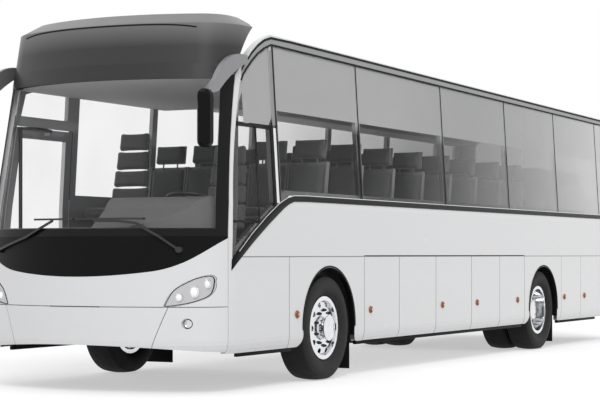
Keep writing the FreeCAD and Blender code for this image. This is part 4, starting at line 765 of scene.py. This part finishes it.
def band(points, width):
    """A centre line of (place, height) points as pairs, width apart across the line."""
    pairs = []
    for index, (place, height) in enumerate(points):
        before, after = points[max(index - 1, 0)], points[min(index + 1, len(points) - 1)]
        along = Vector((after[0] - before[0], after[1] - before[1])).normalized()
        across = Vector((-along.y, along.x)) * width / 2
        pairs.append(((place - across.x, height - across.y), (place + across.x, height + across.y)))
    return pairs


def copies_of(piece, places):
    """Copies of a piece, each with its own mesh, moved by matrices; the first piece is used up."""
    made = []
    for place in places:
        copy = piece.copy()
        copy.data = piece.data.copy()
        bpy.context.scene.collection.objects.link(copy)
        copy.matrix_world = place @ piece.matrix_world
        made.append(copy)
    bpy.data.objects.remove(piece)
    return made


def joined(name, pieces):
    work_on(*pieces)
    bpy.ops.object.join()
    return started(name)


def finished(piece, material, body="coach"):
    """Put a piece's place in its mesh, smooth it, give it its finish and let it ride."""
    work_on(piece)
    bpy.ops.object.transform_apply(location=True, rotation=True, scale=True)
    bpy.ops.object.shade_smooth_by_angle(angle=SMOOTH_ANGLE)
    dress(piece, material)
    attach(piece, body)
    return piece


def dress(piece, material):
    """Give a piece one finish."""
    piece.data.materials.clear()
    piece.data.materials.append(MATERIALS[material])


def turned_about(axis, centre, angle):
    centre = Vector(centre)
    return Matrix.Translation(centre) @ Matrix.Rotation(angle, 4, Vector(axis)) @ Matrix.Translation(-centre)


# --------------------------------------------------------------------- stage

WHITE = (1, 1, 1, 1)


def seen(tree, strength):
    """A strength for what the camera, a mirror or glass sees, and 0 for light."""
    path = added(tree, "LightPath").outputs
    camera, mirror, through = (Value(tree, path["Is %s Ray" % ray]) for ray in ("Camera", "Glossy", "Transmission"))
    return camera.larger(mirror).larger(through) * strength


class COACH_OT_stage(Operator):
    """Make the floor, the lights and the camera"""
    bl_idname = "coach.stage"
    bl_label = "Stage"

    def execute(self, context):
        settings = context.scene.coach_stage
        deselect()
        bpy.ops.object.camera_add(location=settings.camera_place, rotation=(math.radians(90), 0, settings.camera_turn))
        camera = context.object
        camera.name = "studio_camera"
        camera.data.lens = settings.lens
        camera.data.sensor_width = 36
        camera.data.shift_y = settings.shift
        camera.data.clip_end = 200
        context.scene.camera = camera
        bpy.ops.mesh.primitive_plane_add(size=160, location=(0, 0, 0))
        floor = context.object
        floor.name = "studio_floor"
        floor.data.materials.append(self.floor_paint(settings.floor_colour))
        context.scene.world = self.white_room(settings.world_level)
        bpy.ops.object.light_add(type="SUN", rotation=(math.radians(38), math.radians(24), math.radians(10)))
        sun = context.object
        sun.name = "studio_key"
        sun.data.energy = settings.key_level
        sun.data.angle = math.radians(25)
        context.scene.view_settings.view_transform = "Standard"
        return {"FINISHED"}

    def floor_paint(self, colour):
        """Matt white paint that the view, glass and bright metal see as a lit backdrop, shadow kept."""
        material = bpy.data.materials.new("floor_paint")
        material.use_nodes = True
        tree = material.node_tree
        tree.nodes.remove(tree.nodes["Principled BSDF"])
        matt = added(tree, "BsdfDiffuse", Color=(*colour, 1))
        glow = added(tree, "Emission", Color=WHITE, Strength=seen(tree, 0.5))
        both = added(tree, "AddShader")
        tree.links.new(matt.outputs[0], both.inputs[0])
        tree.links.new(glow.outputs[0], both.inputs[1])
        tree.links.new(both.outputs[0], tree.nodes["Material Output"].inputs["Surface"])
        return material

    def white_room(self, level):
        """A white world that gives light of one level and is seen as plain white."""
        world = bpy.data.worlds.new("studio_world")
        world.use_nodes = True
        tree = world.node_tree
        background = tree.nodes["Background"].inputs
        feed(tree, background["Color"], WHITE)
        feed(tree, background["Strength"], seen(tree, 1.0).larger(level))
        return world


class COACH_OT_finishes(Operator):
    """Make the finishes and give every CAD part its own"""
    bl_idname = "coach.finishes"
    bl_label = "Finishes"

    def execute(self, context):
        paint = context.scene.coach_paint
        for make, name, colour, *values in FINISHES:
            colour = getattr(paint, colour) if isinstance(colour, str) else colour
            MATERIALS[name] = make(name, colour, *values)
        worn = {node: material for material, nodes in WEARERS.items() for node in nodes.split()}
        for node in NODES:
            if "luggage_door" in node:
                worn[node] = "panel_paint"
            elif "tyre" in node:
                worn[node] = node.split("_")[0] + "_tyre"
            elif "rim" in node:
                worn[node] = "rim_alloy"
        missing = set(NODES) - set(worn)
        if missing:
            raise RuntimeError("no finish for %s" % sorted(missing))
        for node, material in worn.items():
            dress(NODES[node], material)
        return {"FINISHED"}


class COACH_OT_copy_skin(Operator):
    """Copy the outer panels and glass as one skin to lay trim on"""
    bl_idname = "coach.copy_skin"
    bl_label = "Copy Skin"

    def execute(self, context):
        copies = []
        for node in SKIN_NODES:
            copy = NODES[node].copy()
            copy.data = NODES[node].data.copy()
            copy.parent = None
            for key in list(copy.keys()):
                del copy[key]
            context.scene.collection.objects.link(copy)
            copies.append(copy)
        SKIN["piece"] = joined("skin_copy", copies)
        edit(SKIN["piece"])
        bpy.ops.mesh.remove_doubles(threshold=0.0001)
        done()
        return {"FINISHED"}


# ----------------------------------------------------------- trim on the skin

# the belt's low and high edge, the front of the side glass and of the rail over it: (place, height)
BELT = (((-1.867, 1.066), (-1.862, 1.160)), ((-1.719, 1.178), (-1.765, 1.232)), ((-1.513, 1.306), (-1.553, 1.380)),
        ((-1.232, 1.465), (-1.270, 1.544)), ((-1.012, 1.579), (-1.045, 1.657)), ((-0.925, 1.623), (-0.950, 1.693)),
        ((-0.832, 1.660), (-0.850, 1.724)), ((-0.723, 1.687), (-0.730, 1.745)), ((-0.478, 1.692), (-0.478, 1.751)))
DOOR_SIDE_BELT = (((-0.735, 1.687), (-0.735, 1.745)), BELT[-1])
BELT_RUN = (1.693, 1.751)  # the belt's edges from there to the rear
GLASS_FRONT = ((-1.594, 2.731), (-1.560, 2.785), (-1.499, 2.841), (-1.400, 2.919), (-1.273, 3.000), (-1.148, 3.059),
               (-1.011, 3.104))
RAIL_FRONT = ((-1.572, 2.838), (-1.530, 2.890), (-1.458, 2.943), (-1.380, 3.006), (-1.255, 3.086), (-1.132, 3.143),
              (-1.010, 3.176))
FALL_START, FALL_LENGTH = -1.0, 10.3  # glass and rail fall evenly from here to the rear
FIRST_PANE = -0.985
PANE_SHARES = (0.1721, 0.3868, 0.5825, 0.7598, 0.9302)
# foot, head and width of the bars round the driver's window
DRIVER_BARS = (((-1.828, 1.49), (-1.374, 1.49), 0.022), ((-1.700, 2.345), (-1.06, 2.345), 0.04),
               ((-1.39, 1.49), (-1.39, 2.345), 0.024), ((-1.085, 1.64), (-1.085, 2.36), 0.05),
               ((-0.996, 1.69), (-0.996, 3.095), 0.024))
POST = -1.034  # the bright post behind the driver's window


def wall_end():
    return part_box("left_side_wall")[1].y - FRONT_AXLE - 0.012


def glass_end():
    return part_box("side_windows")[1].y - FRONT_AXLE


def glass_top(place):
    return 3.108 - 0.098 * (place - FALL_START) / FALL_LENGTH


def rail_top(place):
    return 3.195 - 0.105 * (place - FALL_START) / FALL_LENGTH


def run_to_rear(start, end):
    """Places from just behind start to end, close enough to follow the wall's bow."""
    count = math.ceil((end - start) / 0.4)
    return [start + (end - start) * number / count for number in range(1, count + 1)]


class COACH_OT_belt(Operator):
    """Make the black belts under the side glass and their bright strips"""
    bl_idname = "coach.belt"
    bl_label = "Belts"

    def execute(self, context):
        rise = context.scene.coach_sizes.trim_rise
        for side, word in SIDES:
            pairs = list(BELT if side > 0 else DOOR_SIDE_BELT)
            pairs += uprights(run_to_rear(BELT[-1][0][0], wall_end()), *BELT_RUN)
            belt = side_strip("belt_%s" % word, pairs, side, rise * 1.6)
            modify(belt, "BEVEL", width=0.0015, segments=2, limit_method="ANGLE")
            finished(belt, "gloss_black")
            bright = []
            for low, high in pairs[1 if side > 0 else 0:]:
                low, high = Vector(low), Vector(high)
                bright.append((tuple(high + (low - high).normalized() * 0.006), tuple(high)))
            finished(side_strip("belt_line_%s" % word, bright, side, rise * 2.2), "bright_trim")
        return {"FINISHED"}


class COACH_OT_glass_trim(Operator):
    """Make the rails, gutters, gaskets and pane seals on both sides, and the driver's window frames and door post on
    the left
    """
    bl_idname = "coach.glass_trim"
    bl_label = "Glass Trim"

    def execute(self, context):
        sizes = context.scene.coach_sizes
        width, rise = sizes.gasket, sizes.trim_rise
        for side, word in SIDES:
            ends = run_to_rear(FALL_START, wall_end())
            glass_edge = list(GLASS_FRONT) + [(place, glass_top(place) - 0.004) for place in ends]
            outer_edge = list(RAIL_FRONT) + [(place, rail_top(place) - 0.012) for place in ends]
            rail = side_strip("roof_rail_%s" % word, list(zip(glass_edge, outer_edge)), side, rise * 0.5)
            finished(rail, "rail_grey")
            gutter = [((place, height - width * 1.3), (place, height)) for place, height in outer_edge]
            for name, pairs in (("glass_gasket", band(glass_edge, width)), ("gutter", gutter)):
                finished(side_strip("%s_%s" % (name, word), pairs, side, rise * 1.5), "black_rubber")
            seals = []
            for share in PANE_SHARES:
                place = FIRST_PANE + share * (glass_end() - FIRST_PANE)
                line = band(((place, 1.753), (place, glass_top(place) - 0.012)), 0.022)
                seals.append(side_strip("seal", line, side, 0.0015))
            if side > 0:
                seals += [side_strip("bar", band((foot, head), wide), side, rise) for foot, head, wide in DRIVER_BARS]
                guard = band(((POST, 1.668), (POST, 2.345)), 0.05)
                finished(side_strip("door_post_strip", guard, side, rise * 0.7), "bright_trim")
                cover = band(((POST, 2.372), (POST, 3.05)), 0.056)
                finished(side_strip("door_post_cover", cover, side, 0.0012), "post_lining")
            finished(joined("pane_seals_%s" % word, seals), "black_rubber")
        return {"FINISHED"}


class COACH_OT_skirt_trim(Operator):
    """Make the wheel arch lips, the skirt edges, the painted shade in the bumper's crease and the strips over the
    windscreen
    """
    bl_idname = "coach.skirt_trim"
    bl_label = "Skirt and Arches"

    def execute(self, context):
        rise = context.scene.coach_sizes.trim_rise
        rear = REAR_AXLE - FRONT_AXLE
        for side, word in SIDES:
            lips = []
            for axle, half in ARCHES:
                radius, centre = arch_circle(half)
                foot = math.asin((AXLE_HEIGHT - centre) / radius)
                turns = [foot + (math.pi - 2 * foot) * step / 40 for step in range(41)]
                arc = [(axle - FRONT_AXLE + (radius + 0.012) * math.cos(turn),
                        centre + (radius + 0.012) * math.sin(turn)) for turn in turns]
                lips.append(side_strip("arch_lip", band(arc, 0.014), side, rise))
            finished(joined("arch_lips_%s" % word, lips), "black_rubber")
            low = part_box("%s_luggage_door_1" % word)[0].z
            near, far = sorted((side * 1.19, side * 1.225))
            edges = [block("edge", (near, FRONT_AXLE + start, low - 0.038), (far, FRONT_AXLE + end, low + 0.004),
                           0.004) for start, end in ((-1.70, -0.68), (0.68, rear - 0.66), (rear + 0.66, 8.3))]
            finished(joined("skirt_edge_%s" % word, edges), "black_rubber")
        # painted shade: a thin black strip stands for the shade in the crease between the mask and the centre bumper
        crease = uprights((-0.26, -0.13, 0.0, 0.13, 0.26), 0.748, 0.756)
        finished(end_strip("bumper_crease", crease, BEFORE, 0.002), "black_plastic")
        header = uprights([number * 0.1 for number in range(-11, 12)], 2.726, 2.866)
        finished(end_strip("screen_header", header, BEFORE, 0.005), "black_plastic")
        groove = []
        for number in range(-13, 14):
            across = number * 0.07
            drop = 0.05 * abs(across) ** 6
            groove.append(((across, 3.208 - drop), (across, 3.22 - drop)))
        finished(end_strip("visor_groove", groove, BEFORE, 0.003), "black_rubber")
        return {"FINISHED"}


# --------------------------------------------------------------------- lamps

LAMP_CENTRE = (1.020, 0.890)
LAMP_UNITS = ((0.938, 0.836, 0.034), (1.051, 0.882, 0.049), (1.142, 0.950, 0.038))  # across, height, radius
# outline of the lens about its centre, and the parts to a metre: over 1000, so the seal lies inside the lens
LAMP_DROP = ((-202, -137), (-130, -2), (-20, 76), (50, 111), (120, 133), (162, 128), (172, 80), (150, -28), (75, -81),
             (-35, -115), (-170, -137), (-200, -137))
DROP_PARTS = (1040, 1060)
FOG_LAMP = (1.006, 0.61)
# outlines (along the axis, radius)
FOG_BOWL = ((-0.012, 0.036), (0.002, 0.035), (0.003, 0.03), (-0.006, 0.026), (-0.004, 0.014), (-0.002, 0.0004))
MARKER_LENS = ((-0.002, 0.037), (0.006, 0.0365), (0.015, 0.031), (0.0215, 0.019), (0.0238, 0.007), (0.0242, 0.0003))
MARKERS = (-0.675, 6.856, 7.681)
DOOR_MARKERS = ((1, 0.914), (3, 2.766), (4, 3.791), (5, 5.116))  # luggage door, place
MARKER_HEIGHT = 0.65


class COACH_OT_lamps(Operator):
    """Make the headlamps' bowls, bulbs and seals, the fog lamps and the marker lenses"""
    bl_idname = "coach.lamps"
    bl_label = "Lamps"

    def execute(self, context):
        headlamps = NODES["headlamps"]
        inward, forward = (0, 1, 0), Vector((0, -1, 0))
        for side, word in SIDES:
            bowls, bulbs = [], []
            for across, height, radius in LAMP_UNITS:
                base = touch((side * across, FAR_BEFORE, height), inward, headlamps) + forward * 0.001
                bowls.append(lathe("lamp_bowl", [
                    (0.001, 0.001), (0.002, radius * 0.5), (0.007, radius * 0.84), (0.009, radius),
                    (0.004, radius * 1.1), (0.0, radius * 1.12), (-0.004, radius * 1.1)], base, forward, 40))
                bulbs.append(lathe("lamp_bulb", [(0.014, 0.0005), (0.013, radius * 0.45), (0.009, radius * 0.72),
                                                 (0.003, radius * 0.84)], base, forward, 32))
            finished(joined("headlamp_bowls_%s" % word, bowls), "lamp_bowl")
            drop = [(LAMP_CENTRE[0] + x / DROP_PARTS[0], LAMP_CENTRE[1] + z / DROP_PARTS[1]) for x, z in LAMP_DROP]
            rim = [tuple((side * x, z) for x, z in pair) for pair in band(curve_through(drop, 4), 0.006)]
            seal = end_strip("headlamp_seal_%s" % word, rim, FAR_BEFORE, 0.003, headlamps)
            finished(seal, "black_rubber")
            across, height = side * FOG_LAMP[0], FOG_LAMP[1]
            face = touch((across, FAR_BEFORE, height + 0.055), inward).y
            fog = lathe("fog_lamp_%s" % word, FOG_BOWL, (across, face + 0.004, height), forward, 32)
            finished(fog, "lamp_bowl")
            finished(joined("headlamp_projectors_%s" % word, bulbs), "lamp_glow")
            caps = [self.cap("marker_lens", side, place) for place in MARKERS]
            finished(joined("marker_lenses_%s" % word, caps), "amber_lens")
            for number, place in DOOR_MARKERS:
                finished(self.cap("door_marker_%s_%d" % (word, number), side, place), "amber_lens",
                         body="%s_luggage_door_%d" % (word, number))
        return {"FINISHED"}

    def cap(self, name, side, place):
        """A domed lens over a round marker lamp."""
        spot = touch((side * BESIDE, FRONT_AXLE + place, MARKER_HEIGHT + 0.06), (-side, 0, 0))
        return lathe(name, MARKER_LENS, (spot.x, FRONT_AXLE + place, MARKER_HEIGHT), (side, 0, 0), 28)


# -------------------------------------------------------------------- wheels

# the hub cap's outline (along the axle, radius) and the tyre rings' (radius, half width)
RIM_CAP = ((-0.004, 0.122), (0.005, 0.121), (0.011, 0.112), (0.014, 0.085), (0.017, 0.068), (0.024, 0.052),
           (0.028, 0.03), (0.03, 0.0004))
TYRE_RINGS = ((0.352, 0.0022), (0.371, 0.0016), (0.446, 0.002))


class COACH_OT_wheels(Operator):
    """Make the nuts and hub caps of the rims and the rings on the tyres"""
    bl_idname = "coach.wheels"
    bl_label = "Wheels"

    def execute(self, context):
        sizes = context.scene.coach_sizes
        for side, word in SIDES:
            for end, axle, plural in (("front", FRONT_AXLE, ""), ("rear", REAR_AXLE, "s")):
                stem = "%s_%s_" % (end, word)
                body, node = stem + "wheel" + plural, stem + "rim" + plural
                plate = self.face_at(node, side, axle, sizes.nut_circle)
                nut = self.nut(Vector((plate, axle, AXLE_HEIGHT + sizes.nut_circle)), Vector((side, 0, 0)))
                turns = [turned_about((1, 0, 0), (plate, axle, AXLE_HEIGHT), math.tau * step / sizes.nuts)
                         for step in range(sizes.nuts)]
                finished(joined(stem + "rim_nuts", copies_of(nut, turns)), "nut_steel", body=body)
                hub = self.face_at(node, side, axle, 0.012)
                cap = lathe(stem + "rim_cap", RIM_CAP, (hub, axle, AXLE_HEIGHT), (side, 0, 0), 48)
                finished(cap, "rim_alloy", body=body)
                rings = []
                for radius, thick in TYRE_RINGS:
                    wall = self.face_at(stem + "tyre" + plural, side, axle, radius)
                    rings.append(ring((wall, axle, AXLE_HEIGHT), (side, 0, 0), 72, radius - thick, radius + thick,
                                      -0.003, thick * 0.8, thick))
                finished(joined(stem + "tyre_rings", rings), end + "_tyre", body=body)
        return {"FINISHED"}

    def face_at(self, node, side, axle, radius):
        """How far out a node's surface stands, at a radius above its axle."""
        piece = NODES[node]
        start = piece.matrix_world.inverted() @ Vector((side * 2.0, axle + 0.004, AXLE_HEIGHT + radius))
        return (piece.matrix_world @ touch(start, (-side, 0, 0), piece)).x

    def nut(self, spot, axis):
        """A hexagon nut on a flange, with the stud's end showing."""
        return joined("nut", [disc("flange", spot + axis * 0.003, 0.0165, 0.006, axis, 24, 0.001),
                              disc("hexagon", spot + axis * 0.014, 0.0135, 0.018, axis, 6, 0.0015),
                              disc("stud", spot + axis * 0.026, 0.008, 0.01, axis, 16, 0.0012)])


# --------------------------------------------------------------------- seats

SEAT_FLOOR = 1.2
SEAT_HALF = 0.43 / 2
SEAT_LEAN = turned_about((1, 0, 0), (0, 0.03, 0.36), -math.radians(9.4))
SEAT_ROWS, ROW_PITCH = 11, 0.78
FIRST_ROWS = ((1, 0.150), (-1, 0.420))  # side, place
CREW_SPOTS = ((0.61, FRONT_AXLE - 0.95, 1.0), (-0.83, FRONT_AXLE - 0.36, SEAT_FLOOR))
COVER_FRAMES = 20  # how long the cloth takes to fill


def leaned(piece):
    """The selected piece, leaned back as the seats are."""
    piece.matrix_world = SEAT_LEAN @ piece.matrix_world
    bpy.ops.object.transform_apply()
    return piece


class COACH_OT_seats(Operator):
    """Make the padded seats: cushions, backs and headrests blown up as cloth, on moulded shells"""
    bl_idname = "coach.seats"
    bl_label = "Seats"

    def execute(self, context):
        half = SEAT_HALF
        pads = (
            ("seat_cushion", 0.7, self.pad((half - 0.012, -0.436, 0.372), (-0.004, 0.448), 0.02, 0.012)),
            ("seat_back", 0.7, leaned(self.pad((half - 0.016, 0.036, 0.45), (0.092, 0.905), 0.02, 0.011))),
            ("headrest", 0.8, leaned(self.pad((half - 0.05, 0.038, 0.958), (0.098, 1.15), 0.018, 0.01))))
        shell = self.shell(half)
        places = [Matrix.Translation((side * (0.23 + number * 0.442 + half), FRONT_AXLE + first + ROW_PITCH * row,
                                      SEAT_FLOOR))
                  for side, first in FIRST_ROWS for row in range(SEAT_ROWS) for number in (0, 1)]
        crew = [Matrix.Translation(spot) for spot in CREW_SPOTS]
        for kind, fill, piece in pads:
            for number, copy in enumerate(copies_of(piece, places + (crew if kind == "seat_cushion" else []))):
                copy.name = copy.data.name = "%s_%02d" % (kind, number)
                finished(copy, "seat_fabric")
                if kind == "seat_cushion":
                    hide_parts("passenger_seats", "crew_seats")
        for name, place in zip(("driver_seat_back", "guide_seat_back"), crew):
            tall = self.tall_back(name)
            tall.matrix_world = place @ tall.matrix_world
            finished(tall, "driver_fabric")
        finished(joined("seat_shells", copies_of(shell, places)), "seat_shell")
        return {"FINISHED"}

    def pad(self, corner, far, bevel, most, voxel=0.017):
        """A block, as wide to both sides, cut into an even mesh and blown up like a filled cover."""
        half, front, low = corner
        piece = block("pad", (-half, front, low), (half, *far), bevel, 3)
        modify(piece, "REMESH", mode="VOXEL", voxel_size=voxel, use_smooth_shade=True)
        self.blow_up(piece, most)
        work_on(piece)
        return piece

    def blow_up(self, piece, most):
        """Fill a piece with air as cloth; no point moves further than most."""
        rest = [vert.co.copy() for vert in piece.data.vertices]
        work_on(piece)
        scene = bpy.context.scene
        cloth = piece.modifiers.new("Cover", "CLOTH")
        cloth.settings.use_pressure = True
        cloth.settings.uniform_pressure_force = scene.coach_sizes.swell
        cloth.settings.effector_weights.gravity = 0
        cloth.settings.quality = 5
        cloth.point_cache.frame_start = 1
        cloth.point_cache.frame_end = COVER_FRAMES
        for number in range(1, COVER_FRAMES + 1):
            scene.frame_set(number)
        bpy.ops.object.modifier_apply(modifier=cloth.name)
        scene.frame_set(1)
        moved = [vert.co.copy() for vert in piece.data.vertices]
        for vert, before, after in zip(piece.data.vertices, rest, moved):
            way = after - before
            if way.length > most:
                way *= most / way.length
            vert.co = before + way
        piece.data.update()

    def tall_back(self, name):
        """A tall back of four stacked rolls, narrower towards the head."""
        rolls = [self.pad((half, 0.034, low), (0.1, high), 0.025, 0.009, 0.014) for low, high, half in
                 ((0.44, 0.68, 0.215), (0.685, 0.855, 0.2), (0.86, 1.05, 0.188), (1.055, 1.235, 0.17))]
        return leaned(joined(name, rolls))

    def shell(self, half):
        """The moulded back, its light edges, the headrest's posts and the pan under the cushion."""
        back = block("back_shell", (-half + 0.004, 0.098, 0.37), (half - 0.004, 0.112, 0.93), 0.005)
        crown = block("crown", (-half + 0.045, 0.1, 0.965), (half - 0.045, 0.112, 1.155), 0.006)
        wings = []
        for side in (-1, 1):
            wing = block("wing", (side * half - 0.009, 0.05, 0.44), (side * half + 0.009, 0.112, 0.925), 0.006)
            wing.matrix_world = Matrix.Translation((-side * 0.009, 0, 0)) @ wing.matrix_world
            wings.append(wing)
        posts = [disc("post", (side * 0.085, 0.088, 0.94), 0.008, 0.12, (0, 0, 1), 12) for side in (-1, 1)]
        upper = leaned(joined("upper", [back, crown] + wings + posts))
        pan = block("pan", (-half + 0.008, -0.43, 0.348), (half - 0.008, 0.06, 0.37), 0.008)
        return joined("seat_shell", [upper, pan])


# ------------------------------------------------------- cabin, mirrors, rear

CEILING = 2.745  # height of the ceiling over the driver


class COACH_OT_cabin(Operator):
    """Make the pelmets behind the side glass, the ceiling over the driver and the steering wheel's hub"""
    bl_idname = "coach.cabin"
    bl_label = "Cabin"

    def execute(self, context):
        for side, word in SIDES:
            pairs = [((place + 0.012, 2.36), (place + 0.012, max(2.38, top - 0.02)))
                     for place, top in GLASS_FRONT[:-1]] if side > 0 else []
            low = 2.51 if side > 0 else 2.93
            places = [FALL_START] + run_to_rear(FALL_START, glass_end() - 0.06)
            pairs += [((place, low), (place, glass_top(place) - 0.02)) for place in places]
            finished(side_strip("glass_pelmet_%s" % word, pairs, side, -0.006, 0.009), "rack_lining")
        ceiling = []
        for number in range(-10, 11):
            across = number * 0.114
            screen = touch((across, FAR_BEFORE, CEILING), (0, 1, 0)).y
            ceiling.append(((across, screen + 0.03, CEILING), (across, FRONT_AXLE + 0.9, CEILING)))
        piece = modify(strip("driver_ceiling", ceiling), "SOLIDIFY", thickness=0.02, offset=0)
        finished(piece, "ceiling_lining")
        hub = lathe("steering_hub", [(-0.02, 0.05), (0.012, 0.07), (0.022, 0.055), (0.026, 0.0004)],
                    (0.61, FRONT_AXLE - 1.44, 1.692), (0, 0.27, 0.96), 32)
        finished(hub, "black_plastic")
        return {"FINISHED"}


class COACH_OT_mirrors(Operator):
    """Make the glasses of the mirrors"""
    bl_idname = "coach.mirrors"
    bl_label = "Mirrors"

    def execute(self, context):
        plane = FRONT_AXLE - 2.235
        for side, word in SIDES:
            near, far = sorted((side * 1.183, side * 1.287))
            for name, low, high in (("upper", 2.275, 2.583), ("lower", 2.122, 2.262)):
                finished(block("mirror_%s_%s" % (name, word), (near, plane - 0.002, low), (far, plane + 0.003, high),
                               0.001), "mirror_glass")
        return {"FINISHED"}


class COACH_OT_rear(Operator):
    """Make the bare plate and the louvres of the engine lid"""
    bl_idname = "coach.rear"
    bl_label = "Rear"

    def execute(self, context):
        low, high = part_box("engine_lid")
        face = touch((0, BEHIND, low.z + 0.12), (0, -1, 0)).y
        plate = block("blank_plate", (-0.26, face - 0.001, low.z + 0.06), (0.26, face + 0.004, low.z + 0.17), 0.0015)
        finished(plate, "white_plate", body="engine_lid")
        slats = []
        for row in range(6):
            foot = high.z - 0.09 - row * 0.045
            slats.append(end_strip("slat", uprights((-0.72, -0.36, 0.0, 0.36, 0.72), foot, foot + 0.018), BEHIND,
                                   0.004))
        finished(joined("lid_louvres", slats), "black_plastic", body="engine_lid")
        return {"FINISHED"}


class COACH_OT_roof_grille(Operator):
    """Make the fan grilles on the roof's air conditioner"""
    bl_idname = "coach.roof_grille"
    bl_label = "Roof Grille"

    def execute(self, context):
        low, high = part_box("roof_air_conditioner")
        rings = []
        for side in (-1, 1):
            for step in range(2):
                centre = Vector((side * 0.32, low.y + (high.y - low.y) * (0.34 + 0.32 * step), high.z - 0.02))
                rings += [ring(centre, (0, 0, 1), 40, radius - 0.004, radius + 0.004, -0.02, 0.006)
                          for radius in (0.05, 0.09, 0.13, 0.17)]
        finished(joined("roof_fan_grilles", rings), "black_plastic")
        return {"FINISHED"}


class COACH_OT_remove_skin(Operator):
    """Take away the copy of the skin that the trim was laid on"""
    bl_idname = "coach.remove_skin"
    bl_label = "Remove Skin Copy"

    def execute(self, context):
        bpy.data.objects.remove(SKIN.pop("piece"))
        return {"FINISHED"}


# -------------------------------------------------------------- registration

STEPS = (COACH_OT_stage, COACH_OT_finishes, COACH_OT_copy_skin, COACH_OT_belt, COACH_OT_glass_trim,
         COACH_OT_skirt_trim, COACH_OT_lamps, COACH_OT_wheels, COACH_OT_seats, COACH_OT_cabin, COACH_OT_mirrors,
         COACH_OT_rear, COACH_OT_roof_grille, COACH_OT_remove_skin)
SETTINGS = (("coach_stage", CoachStageSettings), ("coach_paint", CoachPaintSettings),
            ("coach_sizes", CoachSizeSettings))


class COACH_PT_parts(Panel):
    """Settings and steps of the coach."""
    bl_idname = "COACH_PT_parts"
    bl_label = "Coach Parts"
    bl_space_type = "VIEW_3D"
    bl_region_type = "UI"
    bl_category = "Coach"

    def draw(self, context):
        layout = self.layout
        for group, kind in SETTINGS:
            box = layout.box()
            for field in kind.__annotations__:
                box.prop(getattr(context.scene, group), field)
        for step in STEPS:
            layout.operator(step.bl_idname)


CLASSES = tuple(kind for _, kind in SETTINGS) + STEPS + (COACH_PT_parts,)


def register():
    for kind in CLASSES:
        bpy.utils.register_class(kind)
    for group, kind in SETTINGS:
        setattr(bpy.types.Scene, group, PointerProperty(type=kind))


def unregister():
    for group, kind in reversed(SETTINGS):
        delattr(bpy.types.Scene, group)
    for kind in reversed(CLASSES):
        bpy.utils.unregister_class(kind)


def main():
    register()
    for step in STEPS:
        family, name = step.bl_idname.split(".")
        if getattr(getattr(bpy.ops, family), name)() != {"FINISHED"}:
            raise RuntimeError("%s did not finish" % step.bl_idname)


if __name__ == "__main__":
    main()
